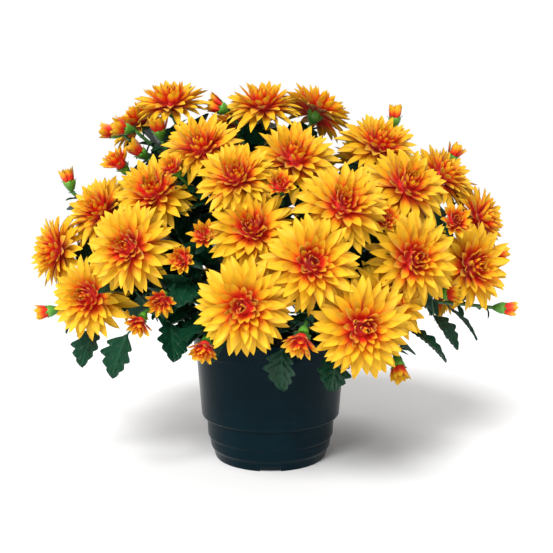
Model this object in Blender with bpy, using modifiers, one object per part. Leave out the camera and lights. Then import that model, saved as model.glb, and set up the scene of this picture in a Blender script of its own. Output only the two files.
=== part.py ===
"""Pot chrysanthemum: five bushy plants in a round nursery pot, with flame-coloured double flower heads.

Metres, +Z up. The pot's axis is Z, it stands on Z = 0, and the front looks towards -Y.
Each full flower head, half-open head and leafy plant is a piece of its own, and so are the pot and the soil.
"""

import math
import random
from collections import namedtuple
from itertools import combinations, product

import bmesh
import bpy
from mathutils import Matrix, Vector, noise
from mathutils.bvhtree import BVHTree

MM = 0.001
GAP = 0.3 * MM
GOLDEN_ANGLE = math.radians(137.508)

# Pot: radius and height of each turn of its outer and inner side, in mm
POT_OUTER = (
    (74.6, 125.0),
    (76.0, 124.0),
    (75.6, 107.0),
    (73.4, 105.6),
    (68.4, 43.5),
    (67.4, 42.0),
    (63.4, 40.6),
    (62.4, 22.5),
    (60.6, 21.0),
    (59.6, 11.5),
    (57.4, 8.0),
    (55.0, 0.0),
)
POT_FOOT_INNER = ((50.0, 0.0), (48.8, 3.0))
POT_INNER = ((52.8, 5.4), (61.2, 26.0), (61.8, 40.0), (66.2, 44.5), (73.2, 124.0))
POT_FLOOR_UNDERSIDE = 3.0
POT_FLOOR_TOP = 5.4
POT_SIDES = 32
DRAIN_HOLE_RADIUS = 4.0
DRAIN_HOLE_RING = 34.0
DRAIN_HOLES = 4
FOOT_NOTCH = (20.0, 2.4)
NOTCH_REACH = 16.0

# Soil: level at the wall, and its mound over that, in mm
SOIL_LEVEL = 108.0
SOIL_TOP = ((0.0, 5.0), (24.0, 3.5), (48.0, 2.5), (71.4, 0.0))
SOIL_WALL = ((65.9, 46.4), (61.3, 41.0), (60.6, 26.0), (52.2, 5.8))
SOIL_SIDES = POT_SIDES // 2
SOIL_LUMP = 2.0 * MM
SOIL_LUMPS_PER_METRE = 45.0
STEM_HOLE_GAP = 0.7
CUT_OVERSHOOT = 3.0
CUTTER_SIDES = 8

# Plants, in mm. Each has a place in the soil and a place where its main stem ends.
STEM_RADIUS = 4.2
STEM_DEPTH = 16.0
STEM_SIDES = 6
PLANTS = {
    "plant_middle": ((0.0, 4.0), (0.0, 8.0, 190.0)),
    "plant_front_left": ((-34.0, -26.0), (-56.0, -46.0, 158.0)),
    "plant_front_right": ((34.0, -26.0), (52.0, -50.0, 156.0)),
    "plant_back_left": ((-32.0, 34.0), (-54.0, 52.0, 160.0)),
    "plant_back_right": ((32.0, 34.0), (54.0, 50.0, 160.0)),
}
BRANCH_RADIUS = 1.7
BRANCH_POINTS = 4
BRANCH_TRIES = 220
BRANCH_ROOM = 1.4

BRANCH_SIDES = 4
LEAFLET_LENGTH = 19.0
# Full heads: x, y, z of the middle in mm, heading and pitch of the face in degrees, and width in mm.
# Heading 0 faces the front and 90 faces +X. A head further down bends its petals clear of those above it.
FULL_HEADS = (
    (-20, -156, 174, -2, 4, 82),
    (74, -152, 156, 6, 4, 84),
    (34, -146, 206, 5, 18, 84),
    (62, -112, 251, 6, 30, 82),
    (122, -104, 206, 12, 12, 84),
    (122, -58, 266, 20, 32, 84),
    (-120, -94, 215, -12, 14, 82),
    (-162, -62, 168, -18, 6, 80),
    (-104, -50, 260, -12, 36, 84),
    (-62, -42, 300, -12, 44, 80),
    (22, -60, 290, 6, 46, 86),
    (-7, 22, 343, 0, 66, 80),
    (46, 50, 340, 120, 58, 78),
    (-97, 20, 345, -14, 70, 78),
    (104, -8, 303, 22, 50, 82),
    (188, -34, 193, 22, 6, 86),
    (-14, -106, 230, -6, 26, 82),
    (-28, -88, 274, -4, 40, 76),
    (100, -104, 168, 24, 12, 80),
    (-160, -16, 242, -38, 34, 80),
    (-204, -10, 205, -52, 10, 76),
    (166, 8, 275, 48, 44, 78),
    (203, 6, 234, 58, 18, 76),
    (-132, 52, 330, -70, 46, 74),
    (-30, 84, 324, -165, 62, 80),
    (-96, 98, 286, -143, 45, 82),
    (34, 118, 286, 165, 44, 82),
    (104, 84, 286, 128, 44, 82),
    (-166, 76, 226, -118, 20, 82),
    (-100, 134, 220, -148, 16, 82),
    (-24, 154, 222, -176, 16, 84),
    (58, 150, 214, 160, 14, 82),
    (134, 116, 214, 136, 14, 82),
    (180, 72, 164, 110, 2, 80),
    (-150, 100, 156, -128, -3, 80),
    (-52, 156, 148, -166, -4, 80),
    (100, 146, 148, 150, -4, 80),
)
# Half-open heads, in the same terms
YOUNG_HEADS = (
    (-74, -104, 206, -10, 10, 30),
    (-55, -100, 226, -4, 26, 30),
    (-92, -106, 172, -6, -24, 32),
    (-112, -100, 152, -20, -34, 28),
    (-54, -126, 136, -14, -40, 32),
    (26, -156, 148, -20, -44, 34),
    (98, -104, 240, 4, 20, 30),
    (166, -62, 236, 6, 16, 34),
    (9, -106, 268, 0, 30, 32),
    (-84, -76, 283, -20, 30, 30),
    (-140, -26, 288, -50, 48, 36),
    (-52, 140, 262, -160, 34, 34),
    (22, 168, 168, 172, -14, 34),
)
# Buds: x, y, z of the calyx's mouth, heading and pitch in the same terms, and width
BUDS = (
    (-197, 8, 272, -60, 76, 20),
    (-216, -12, 146, -84, -12, 19),
    (-157, 26, 320, -84, 14, 20),
    (-143, 14, 323, -70, 10, 20),
    (-127, 6, 300, -60, 36, 20),
    (-106, -8, 321, -20, 66, 21),
    (-50, 26, 344, -84, 24, 22),
    (122, 18, 334, 0, 80, 20),
    (186, 44, 298, 64, 58, 19),
    (222, 0, 203, 82, 2, 18),
    (226, -16, 150, 84, -2, 19),
    (160, -72, 172, 60, 4, 19),
    (108, -128, 118, 16, -50, 19),
    (-188, 96, 176, -116, -4, 19),
    (84, 138, 262, 150, 50, 20),
    (60, 170, 132, 166, -20, 19),
)
# Large leaves on stalks of their own: x, y, z of the leaf's foot, heading and pitch of its length, and length
LEAVES = (
    (-124, -96, 140, -30, -62, 50),
    (-88, -92, 150, -10, -50, 46),
    (12, -116, 132, 12, -52, 46),
    (58, -100, 122, 20, -44, 40),
    (124, -88, 142, 40, -44, 52),
    (150, -58, 150, 60, -24, 48),
    (-166, -30, 134, -60, -40, 50),
    (-186, 34, 150, -100, -34, 50),
    (18, 34, 300, 20, 46, 46),
    (-16, 4, 296, -30, 38, 44),
    (-120, -78, 174, -30, -8, 44),
    (2, -118, 164, 20, -6, 40),
    (-70, -84, 186, -20, 4, 42),
    (84, -70, 214, 4, 8, 42),
    (-98, 110, 150, -140, -36, 52),
    (-24, 128, 146, -176, -40, 50),
    (50, 126, 148, 160, -40, 50),
    (122, 96, 146, 130, -34, 52),
    (184, 26, 142, 92, -34, 50),
    (-40, 70, 306, -150, 50, 44),
    (56, 96, 268, 150, 20, 44),
    (-70, 116, 258, -160, 24, 44),
)

# Half a large leaf's lobed edge from its tip to its foot, as reach along and across over its length
LEAF_OUTLINE = (
    (1.0, 0.0),
    (0.80, 0.16),
    (0.70, 0.13),
    (0.54, 0.27),
    (0.42, 0.15),
    (0.22, 0.24),
    (0.0, 0.025),
)
LEAF_MIDDLE = 0.45
LEAF_THICKNESS = 0.9 * MM
LEAF_TRIES = 40

HeadKind = namedtuple("HeadKind", "sides rings petal_rows florets")
# Rings run from the top of the head's core down to its flat foot, as radius and height over its half width.
# A petal row gives the ring over it, then the petals' length and width over that half width, their rise from
# root to middle and from middle to tip in degrees, and how far their edges cup up over their width. A full
# head's lowest row is a double one. A row of florets gives the ring over it, their length and their rise.
FULL = HeadKind(
    sides=7,
    rings=((0.15, 0.22), (0.25, 0.11), (0.23, -0.07)),
    petal_rows=((2, 0.80, 0.38, 8, -8, 0.12), (1, 0.70, 0.46, 42, 20, 0.18)),
    florets=((0, 0.46, 74),),
)
YOUNG = HeadKind(
    sides=5,
    rings=((0.24, 0.28), (0.34, 0.04), (0.24, -0.26)),
    petal_rows=((1, 0.9, 0.6, 46, 34, 0.22),),
    florets=((0, 0.5, 74),),
)
HEAD_KINDS = {"FULL": FULL, "YOUNG": YOUNG}
DOUBLE_ROW = FULL.petal_rows[0]
DOUBLE_RISE = 11.0
HEAD_GROUPS = (("young_head", YOUNG_HEADS, "YOUNG"), ("bloom", FULL_HEADS, "FULL"))
FLORET_SHARES = (1.0, 0.8, 0.6, 0.4, 0.25)
PETAL_THICKNESS = 1.3 * MM
PETAL_BROADEST = 0.64
FREE_SHARE = 0.35
SWELL = 1.06
# Bends that are tried on a petal: lift and swing in degrees, and share of its length
BEND_LIFTS = range(-48, 80, 8)
BEND_SWINGS = (0, -7, 7)
BEND_SHARES = (1.0, 0.9, 0.8, 0.7, 0.6, 0.5, 0.42)
HEAD_FINISH = {"FULL": "petals", "YOUNG": "young petals"}
CALYX_RADIUS = {"FULL": 0.18, "YOUNG": 0.26}
CALYX_LENGTH = {"FULL": 9.0 * MM, "YOUNG": 8.0 * MM}
# A bud's calyx, mouth and crown: length of the calyx in mm, then the rest over its half width
BUD_CALYX_LENGTH = 11.0
BUD_MOUTH_RADIUS = 0.62
BUD_CROWN_HEIGHT = 1.3
BUD_HOLLOW = 0.7

COLOURS = {
    "petals": ((0.93, 0.50, 0.03, 1.0), 0.6),
    "young petals": ((0.90, 0.22, 0.02, 1.0), 0.6),
    "leaf and stem": ((0.02, 0.11, 0.05, 1.0), 0.4),
    "pot plastic": ((0.012, 0.03, 0.035, 1.0), 0.35),
    "soil": ((0.05, 0.03, 0.02, 1.0), 0.95),
}


def clear_scene():
    for old in list(bpy.data.objects):
        bpy.data.objects.remove(old, do_unlink=True)


def material(name):
    """The Principled material of one finish, made once."""
    made = bpy.data.materials.get(name)
    if made is None:
        colour, roughness = COLOURS[name]
        made = bpy.data.materials.new(name)
        made.use_nodes = True
        shader = made.node_tree.nodes["Principled BSDF"]
        shader.inputs["Base Color"].default_value = colour
        shader.inputs["Roughness"].default_value = roughness
        shader.inputs["Metallic"].default_value = 0.0
    return made


def add_object(name, mesh, collection, finish, matrix=None):
    piece = bpy.data.objects.new(name, mesh)
    collection.objects.link(piece)
    mesh.materials.clear()
    mesh.materials.append(material(finish))
    if matrix is not None:
        piece.matrix_world = matrix
    return piece


def new_collection(name, hidden=False):
    made = bpy.data.collections.new(name)
    bpy.context.scene.collection.children.link(made)
    made.hide_render = hidden
    return made


def mesh_from(bm, name):
    """The finished mesh of a closed solid, with its faces outwards."""
    mesh = bpy.data.meshes.new(name)
    bmesh.ops.recalc_face_normals(bm, faces=bm.faces[:])
    if bm.calc_volume(signed=True) < 0:
        bmesh.ops.reverse_faces(bm, faces=bm.faces[:])
    bm.to_mesh(mesh)
    bm.free()
    return mesh


def evaluated_mesh(piece):
    """The piece's mesh with its modifiers applied."""
    bpy.context.view_layer.update()
    return bpy.data.meshes.new_from_object(piece.evaluated_get(bpy.context.evaluated_depsgraph_get()))


def direction(heading, pitch):
    """A unit vector: heading 0 is the front and 90 is +X, and pitch is above the horizon, in degrees."""
    turn, rise = math.radians(heading), math.radians(pitch)
    return Vector((math.sin(turn) * math.cos(rise), -math.cos(turn) * math.cos(rise), math.sin(rise)))


def placed(place, facing, spin=0.0):
    """The matrix that carries a shape's own origin to place and its +Z to facing."""
    turn = facing.to_track_quat("Z", "Y").to_matrix().to_4x4()
    return Matrix.Translation(place) @ turn @ Matrix.Rotation(spin, 4, "Z")


# What a new shape has to stay clear of
Obstacle = namedtuple("Obstacle", "owner tree centre reach")


def obstacle(owner, points, faces):
    centre = sum(points, Vector()) / len(points)
    reach = max((p - centre).length for p in points)
    return Obstacle(owner, BVHTree.FromPolygons(points, faces), centre, reach)


def mesh_obstacle(owner, mesh, matrix):
    points = [matrix @ v.co for v in mesh.vertices]
    return obstacle(owner, points, [tuple(p.vertices) for p in mesh.polygons])


def hits(shape, obstacles, owner):
    """Whether a shape cuts into anything that isn't its owner's."""
    for other in obstacles:
        if other.owner == owner:
            continue
        if (other.centre - shape.centre).length > other.reach + shape.reach:
            continue
        if shape.tree.overlap(other.tree):
            return True
    return False


# Pot and soil


def turned(name, outline, sides):
    """A solid of revolution about Z. The outline runs from the axis out and back to it, in mm."""
    mesh = bpy.data.meshes.new(name)
    points = [(radius * MM, 0.0, height * MM) for radius, height in outline]
    mesh.from_pydata(points, [(i, i + 1) for i in range(len(points) - 1)], [])
    piece = bpy.data.objects.new(name, mesh)
    bpy.context.scene.collection.objects.link(piece)
    screw = piece.modifiers.new("turn", "SCREW")
    screw.steps = screw.render_steps = sides
    screw.use_merge_vertices = True
    screw.merge_threshold = 0.02 * MM
    turned_mesh = evaluated_mesh(piece)
    bpy.data.objects.remove(piece)
    bm = bmesh.new()
    bm.from_mesh(turned_mesh)
    bmesh.ops.remove_doubles(bm, verts=bm.verts[:], dist=0.01 * MM)
    return mesh_from(bm, name)


def cut(piece, cutters):
    """Takes the cutters out of a piece, and clears them away."""
    group = new_collection(piece.name + " cutters", hidden=True)
    for cutter in cutters:
        group.objects.link(cutter)
    difference = piece.modifiers.new("cut", "BOOLEAN")
    difference.operation = "DIFFERENCE"
    difference.operand_type = "COLLECTION"
    difference.collection = group
    difference.solver = "EXACT"
    mesh = evaluated_mesh(piece)
    piece.modifiers.clear()
    piece.data = mesh
    for cutter in cutters:
        bpy.data.objects.remove(cutter)
    bpy.data.collections.remove(group)


def cylinder(name, radius, low, high, place):
    """An upright cylinder as a cutter, in mm."""
    bm = bmesh.new()
    wide, tall = radius * MM, (high - low) * MM
    bmesh.ops.create_cone(bm, cap_ends=True, segments=CUTTER_SIDES, radius1=wide, radius2=wide, depth=tall)
    middle = Vector((*place, (low + high) / 2)) * MM
    bmesh.ops.translate(bm, verts=bm.verts[:], vec=middle)
    return bpy.data.objects.new(name, mesh_from(bm, name))


def block(name, size, place, turn):
    """A box as a cutter, in mm, turned about Z."""
    bm = bmesh.new()
    bmesh.ops.create_cube(bm, size=1.0)
    bmesh.ops.scale(bm, verts=bm.verts[:], vec=[s * MM for s in size])
    bmesh.ops.translate(bm, verts=bm.verts[:], vec=[p * MM for p in place])
    bmesh.ops.rotate(bm, verts=bm.verts[:], matrix=Matrix.Rotation(turn, 3, "Z"))
    return bpy.data.objects.new(name, mesh_from(bm, name))


def build_pot(parts):
    outline = [(0.0, POT_FLOOR_TOP), *POT_INNER, *POT_OUTER, *POT_FOOT_INNER, (0.0, POT_FLOOR_UNDERSIDE)]
    pot = add_object("pot", turned("pot", outline, POT_SIDES), parts, "pot plastic")
    low, high = POT_FLOOR_UNDERSIDE - CUT_OVERSHOOT, POT_FLOOR_TOP + CUT_OVERSHOOT
    width, height = FOOT_NOTCH
    foot_middle = (POT_FOOT_INNER[0][0] + POT_OUTER[-1][0]) / 2
    cutters = []
    for number in range(DRAIN_HOLES):
        way = math.tau * number / DRAIN_HOLES
        drain = direction(math.degrees(way) + 45.0, 0.0) * DRAIN_HOLE_RING
        cutters.append(cylinder(f"drain hole {number}", DRAIN_HOLE_RADIUS, low, high, drain[:2]))
        notch = block(f"foot notch {number}", (width, NOTCH_REACH, 2 * height), (0.0, -foot_middle, 0.0), way)
        cutters.append(notch)
    cut(pot, cutters)
    return pot


def build_soil(parts):
    outline = [(radius, SOIL_LEVEL + rise) for radius, rise in SOIL_TOP]
    outline += [*SOIL_WALL, (0.0, SOIL_WALL[-1][1])]
    mesh = turned("soil", outline, SOIL_SIDES)
    wall = SOIL_TOP[-1][0] * MM
    for vertex in mesh.vertices:
        x, y, z = vertex.co
        if z > SOIL_LEVEL * MM and math.hypot(x, y) < wall - MM:
            vertex.co.z += SOIL_LUMP * noise.noise(Vector((x, y, 0.0)) * SOIL_LUMPS_PER_METRE)
    soil = add_object("soil", mesh, parts, "soil")
    low, high = SOIL_LEVEL - STEM_DEPTH, SOIL_LEVEL + SOIL_TOP[0][1] + CUT_OVERSHOOT
    radius = STEM_RADIUS + STEM_HOLE_GAP
    holes = [cylinder(f"{name} hole", radius, low, high, foot) for name, (foot, _) in PLANTS.items()]
    cut(soil, holes)


# Flower heads


def head_core(kind, half_width):
    """The core of a head: a ball whose rings are drawn to its profile and turned half a step each."""
    bm = bmesh.new()
    turns = len(kind.rings) + 1
    bmesh.ops.create_uvsphere(bm, u_segments=kind.sides, v_segments=turns, radius=1.0)
    ring_of = bm.verts.layers.int.new("ring")
    half_step = math.pi / kind.sides
    for vertex in bm.verts:
        ring = round(math.acos(max(-1.0, min(1.0, vertex.co.z))) * turns / math.pi)
        vertex[ring_of] = ring
        if ring in (0, turns):
            height = kind.rings[0][1] + 0.03 if ring == 0 else kind.rings[-1][1]
            vertex.co = (0.0, 0.0, height * half_width)
            continue
        radius, height = kind.rings[ring - 1]
        azimuth = math.atan2(vertex.co.y, vertex.co.x) + ring * half_step
        vertex.co = (
            radius * half_width * math.cos(azimuth),
            radius * half_width * math.sin(azimuth),
            height * half_width,
        )
    return bm, ring_of


def core_bands(bm, ring_of):
    """The core's faces by the ring over them."""
    bands = {}
    for face in bm.faces:
        bands.setdefault(min(v[ring_of] for v in face.verts), []).append(face)
    return bands


def face_azimuth(face):
    centre = face.calc_center_median()
    return math.atan2(centre.y, centre.x)


def corner_roles(face):
    """What each corner of a face becomes at the broadest place of the petal that grows from it."""
    azimuth = face_azimuth(face)

    def sideways(vertex):
        return -vertex.co.x * math.sin(azimuth) + vertex.co.y * math.cos(azimuth)

    left, *between, right = sorted(face.verts, key=sideways)
    level = (left.co.z + right.co.z) / 2
    roles = {left: "left", right: "right"}
    roles.update((v, "over" if v.co.z > level else "under") for v in between)
    return [roles[v] for v in face.verts]


def petal_shape(root, azimuth, length, width, rise, tip_rise, cup):
    """The points round a petal's broadest place, by role, and its tip."""
    out = Vector((math.cos(azimuth), math.sin(azimuth), 0.0))
    side = Vector((-math.sin(azimuth), math.cos(azimuth), 0.0))
    up = Vector((0.0, 0.0, 1.0))
    along = out * math.cos(rise) + up * math.sin(rise)
    above = up * math.cos(rise) - out * math.sin(rise)
    middle = root + along * length * PETAL_BROADEST
    tip = middle + (out * math.cos(tip_rise) + up * math.sin(tip_rise)) * length * (1 - PETAL_BROADEST)
    edge = above * width * cup
    skin = above * PETAL_THICKNESS / 2
    half = side * width / 2
    broadest = {
        "left": middle - half + edge,
        "right": middle + half + edge,
        "under": middle - skin,
        "over": middle + skin,
    }
    return broadest, tip


def petal_shell(owner, base, broadest, tip, matrix):
    """A petal as an obstacle, a little larger than it is: from base, its corners at the core, to its tip."""
    count = len(base)
    middle = sum(broadest, Vector()) / count
    swollen = [middle + (p - middle) * SWELL + (p - middle).normalized() * 2 * GAP for p in broadest]
    end = tip + (tip - middle).normalized() * 2 * GAP
    points = [matrix @ p for p in [*base, *swollen, end]]
    faces = [(count + i, count + (i + 1) % count, 2 * count) for i in range(count)]
    for i in range(count):
        after = (i + 1) % count
        faces += combinations((i, after, count + after, count + i), 3)
    return obstacle(owner, points, faces)


def bends():
    """Ways to bend a petal clear, the gentlest first: lift and swing in radians, and share of its length."""
    found = []
    for lift, swing, share in product(BEND_LIFTS, BEND_SWINGS, BEND_SHARES):
        effort = abs(lift) / 12 + abs(swing) / 6 + (1 - share) * 9
        found.append((effort, math.radians(lift), math.radians(swing), share))
    return [bend[1:] for bend in sorted(found)]


BENDS = bends()


def clear_petal(face, row, half_width, matrix, obstacles, own, owner, rng):
    """The broadest place and tip of a petal on this face that cuts into nothing, and its shell, or None."""
    _, length, width, rise, tip_rise, cup = row
    root, azimuth = face.calc_center_median(), face_azimuth(face)
    corners = [v.co.copy() for v in face.verts]
    roles = corner_roles(face)
    if row is DOUBLE_ROW and "under" in roles:
        rise, tip_rise, length = rise + DOUBLE_RISE, tip_rise + DOUBLE_RISE, length * 0.95
    length *= half_width * rng.uniform(0.93, 1.05)
    width *= half_width * rng.uniform(0.94, 1.04)
    rise = math.radians(rise + rng.uniform(-4, 4))
    tip_rise = math.radians(tip_rise + rng.uniform(-8, 8))
    for lift, swing, share in BENDS:
        size = (length * share, width * (0.4 + 0.6 * share))
        shape, tip = petal_shape(root, azimuth + swing, *size, rise + lift, tip_rise + lift, cup)
        broadest = [shape[role] for role in roles]
        whole = petal_shell(owner, corners, broadest, tip, matrix)
        if hits(whole, obstacles, owner):
            continue
        free_base = [corner.lerp(p, FREE_SHARE) for corner, p in zip(corners, broadest)]
        free = petal_shell("petal", free_base, broadest, tip, matrix)
        if not hits(free, own, owner):
            return broadest, tip, free
    return None


def clear_floret(face, reach, lean, matrix, obstacles, owner):
    """The tip of a short floret on the crown, drawn in until it cuts into nothing, or None."""
    centre, azimuth = face.calc_center_median(), face_azimuth(face)
    out = Vector((math.cos(azimuth) * math.cos(lean), math.sin(azimuth) * math.cos(lean), math.sin(lean)))
    for share in FLORET_SHARES:
        tip = centre + out * (reach * share + 2 * GAP)
        corners = [matrix @ (centre + (v.co - centre) * SWELL) for v in face.verts]
        sides = [(i, (i + 1) % len(corners), len(corners)) for i in range(len(corners))]
        if not hits(obstacle(owner, corners + [matrix @ tip], sides), obstacles, owner):
            return centre + out * reach * share
    return None


def build_head(name, spec, kind_name, parts, obstacles, rng):
    """A flower head: petals drawn out of the core's faces in rows, and short florets on its crown."""
    kind = HEAD_KINDS[kind_name]
    x, y, z, heading, pitch, across = spec
    half_width = across / 2 * MM
    matrix = placed(Vector((x, y, z)) * MM, direction(heading, pitch), rng.uniform(0, math.tau))
    bm, ring_of = head_core(kind, half_width)
    bands = core_bands(bm, ring_of)
    own = []
    for row in kind.petal_rows:
        roots = bands[row[0]]
        if row is DOUBLE_ROW:
            roots = bmesh.ops.triangulate(bm, faces=roots, quad_method="SHORT_EDGE")["faces"]
        grown = bmesh.ops.extrude_discrete_faces(bm, faces=roots)["faces"]
        for face in grown:
            petal = clear_petal(face, row, half_width, matrix, obstacles, own, name, rng)
            if petal is None:
                print(f"{name}: a petal has no room")
                continue
            broadest, tip, shell = petal
            for corner, point in zip(list(face.verts), broadest):
                corner.co = point
            bmesh.ops.poke(bm, faces=[face])["verts"][0].co = tip
            own.append(shell)
    for ring, length, rise in kind.florets:
        for face in bands[ring]:
            lean = math.radians(rise + rng.uniform(-8, 8))
            reach = length * half_width * rng.uniform(0.85, 1.1)
            tip = clear_floret(face, reach, lean, matrix, obstacles, name)
            if tip:
                bmesh.ops.poke(bm, faces=[face])["verts"][0].co = tip
    bmesh.ops.triangulate(bm, faces=bm.faces[:])
    head = add_object(name, mesh_from(bm, name), parts, HEAD_FINISH[kind_name], matrix)
    return mesh_obstacle(name, head.data, matrix)


End = namedtuple("End", "points radii hollow")


def head_end(place, facing, kind_name, across):
    """The green cup that a branch ends in, with its flat mouth just under the head's foot."""
    half_width = across / 2 * MM
    mouth = place + facing * (HEAD_KINDS[kind_name].rings[-1][1] * half_width - GAP)
    low = mouth - facing * CALYX_LENGTH[kind_name]
    return End([low, mouth], [BRANCH_RADIUS * MM, CALYX_RADIUS[kind_name] * half_width], 0.0)


def bud_end(place, facing, across):
    """The bud that a branch ends in: a cup, and a crown of petal tips that flares out of it."""
    half = across / 2 * MM
    points = [place - facing * BUD_CALYX_LENGTH * MM, place, place + facing * BUD_CROWN_HEIGHT * half]
    return End(points, [BRANCH_RADIUS * MM, BUD_MOUTH_RADIUS * half, half], BUD_HOLLOW * half)


def stem_ends():
    """Every place that a branch has to reach, as its plant, its facing and its end."""
    found = []
    for _, specs, kind_name in HEAD_GROUPS:
        for x, y, z, heading, pitch, across in specs:
            facing = direction(heading, pitch)
            end = head_end(Vector((x, y, z)) * MM, facing, kind_name, across)
            found.append((plant_for(x, y, z), facing, end))
    for x, y, z, heading, pitch, across in BUDS:
        facing = direction(heading, pitch)
        found.append((plant_for(x, y, z), facing, bud_end(Vector((x, y, z)) * MM, facing, across)))
    return found


def core_obstacles():
    """The core of every head and the end of every branch, which nothing of another owner may cut into."""
    found = []
    for prefix, specs, kind_name in HEAD_GROUPS:
        for number, (x, y, z, heading, pitch, across) in enumerate(specs, 1):
            bm, _ = head_core(HEAD_KINDS[kind_name], across / 2 * MM * 1.1)
            core = mesh_from(bm, "core")
            matrix = placed(Vector((x, y, z)) * MM, direction(heading, pitch))
            found.append(mesh_obstacle(f"{prefix}_{number:02d}", core, matrix))
            bpy.data.meshes.remove(core)
    for plant, _, end in stem_ends():
        found.append(tube_shell(end.points, [radius + GAP for radius in end.radii], plant))
    return found


# Leafy plants


def bezier(start, start_handle, end_handle, end, count):
    points = []
    for i in range(count):
        t = i / (count - 1)
        s = 1 - t
        points.append(
            start * s**3 + start_handle * 3 * s * s * t + end_handle * 3 * s * t * t + end * t**3
        )
    return points


def tube_shell(points, radii, owner):
    """A stalk as an obstacle: a four-sided tube round its line, with this radius at each point."""
    corners, faces = [], []
    for i, (point, radius) in enumerate(zip(points, radii)):
        ahead = points[min(i + 1, len(points) - 1)] - points[max(i - 1, 0)]
        side = ahead.orthogonal().normalized()
        other = ahead.cross(side).normalized()
        corners += [point + way * radius for way in (side, other, -side, -other)]
    for i in range(len(points) - 1):
        faces += [(4 * i + k, 4 * i + (k + 1) % 4, 4 * i + 4 + (k + 1) % 4, 4 * i + 4 + k) for k in range(4)]
    return obstacle(owner, corners, faces)


def ring_profile(sides):
    """A flat ring of this many sides and radius 1, the section of a stalk."""
    name = f"section of {sides} sides"
    made = bpy.data.objects.get(name)
    if made is None:
        curve = bpy.data.curves.new(name, "CURVE")
        spline = curve.splines.new("POLY")
        spline.points.add(sides - 1)
        spline.use_cyclic_u = True
        for number, knot in enumerate(spline.points):
            turn = math.tau * number / sides
            knot.co = (math.cos(turn), math.sin(turn), 0.0, 1.0)
        made = bpy.data.objects.new(name, curve)
    return made


def tube(name, points, radii, sides, hollow=0.0):
    """A stalk through these points, as a closed mesh object, with its last end pressed in by hollow."""
    curve = bpy.data.curves.new(name, "CURVE")
    curve.dimensions = "3D"
    curve.bevel_mode = "OBJECT"
    curve.bevel_object = ring_profile(sides)
    curve.use_fill_caps = True
    spline = curve.splines.new("POLY")
    spline.points.add(len(points) - 1)
    for knot, point, radius in zip(spline.points, points, radii):
        knot.co = (*point, 1.0)
        knot.radius = radius
    guide = bpy.data.objects.new(name, curve)
    bpy.context.scene.collection.objects.link(guide)
    mesh = evaluated_mesh(guide)
    bpy.data.objects.remove(guide)
    bpy.data.curves.remove(curve)
    bm = bmesh.new()
    bm.from_mesh(mesh)
    bmesh.ops.remove_doubles(bm, verts=bm.verts[:], dist=0.01 * MM)
    bpy.data.meshes.remove(mesh)
    if hollow:
        cap = min(bm.faces, key=lambda f: (f.calc_center_median() - points[-1]).length)
        middle = bmesh.ops.poke(bm, faces=[cap])["verts"][0]
        middle.co += (points[-2] - points[-1]).normalized() * hollow
    return bpy.data.objects.new(name, mesh_from(bm, name))


def leaf_mesh(name, length, droop, root):
    """A lobed leaf from its foot at the origin along +Z, hollowed along its rib, on a stalk to root."""
    half = LEAF_OUTLINE[1:]
    outline = [LEAF_OUTLINE[0], *half, *((reach, -across) for reach, across in reversed(half))]
    bm = bmesh.new()
    bmesh.ops.create_circle(bm, cap_ends=True, segments=len(outline), radius=1.0)
    rim = list(bm.verts)
    for vertex, (reach, across) in zip(rim, outline):
        height = 0.3 * abs(across) - droop * reach * reach
        vertex.co = Vector((across, height, reach)) * length
    middle = bmesh.ops.poke(bm, faces=bm.faces[:])["verts"][0]
    middle.co = Vector((0.0, -droop * LEAF_MIDDLE * LEAF_MIDDLE, LEAF_MIDDLE)) * length
    foot = [e for e in bm.edges if {rim[len(half)], rim[len(half) + 1]} == set(e.verts)]
    stalk = bmesh.ops.extrude_edge_only(bm, edges=foot)["geom"]
    for vertex in (v for v in stalk if isinstance(v, bmesh.types.BMVert)):
        vertex.co = root + Vector((vertex.co.x, 0.0, 0.0)) * 0.8
    bmesh.ops.triangulate(bm, faces=bm.faces[:])
    upper = bmesh.ops.extrude_face_region(bm, geom=bm.faces[:] + bm.edges[:], use_keep_orig=True)["geom"]
    raised = [v for v in upper if isinstance(v, bmesh.types.BMVert)]
    bmesh.ops.translate(bm, verts=raised, vec=(0.0, LEAF_THICKNESS, 0.0))
    return mesh_from(bm, name)


def leaflet_mesh(name, length):
    """A small lance-shaped leaf from its foot at the origin along +Z: eight faces."""
    bm = bmesh.new()
    bmesh.ops.create_uvsphere(bm, u_segments=4, v_segments=2, radius=1.0)
    for vertex in bm.verts:
        x, y, z = vertex.co
        if abs(z) > 0.5:
            vertex.co = (0.0, 0.0, length if z > 0 else -2.0 * MM)
        else:
            vertex.co = (x * 0.17 * length, y * 0.7 * MM + 0.06 * length, 0.42 * length)
    return mesh_from(bm, name)


def plant_for(x, y, z):
    """The plant that carries what stands here, in mm."""
    if z > 262 and math.hypot(x, y) < 118:
        return "plant_middle"
    return f"plant_{'front' if y < 8 else 'back'}_{'left' if x < 0 else 'right'}"


def stem_line(name):
    """Points up a plant's main stem, from its foot in the soil."""
    foot, top = PLANTS[name]
    low = Vector((foot[0], foot[1], SOIL_LEVEL - STEM_DEPTH + 1.0)) * MM
    level = Vector((foot[0], foot[1], SOIL_LEVEL + 12.0)) * MM
    high = Vector(top) * MM
    return [low, level, level.lerp(high, 0.5) + Vector((0.0, 0.0, 2.0 * MM)), high]


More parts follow.
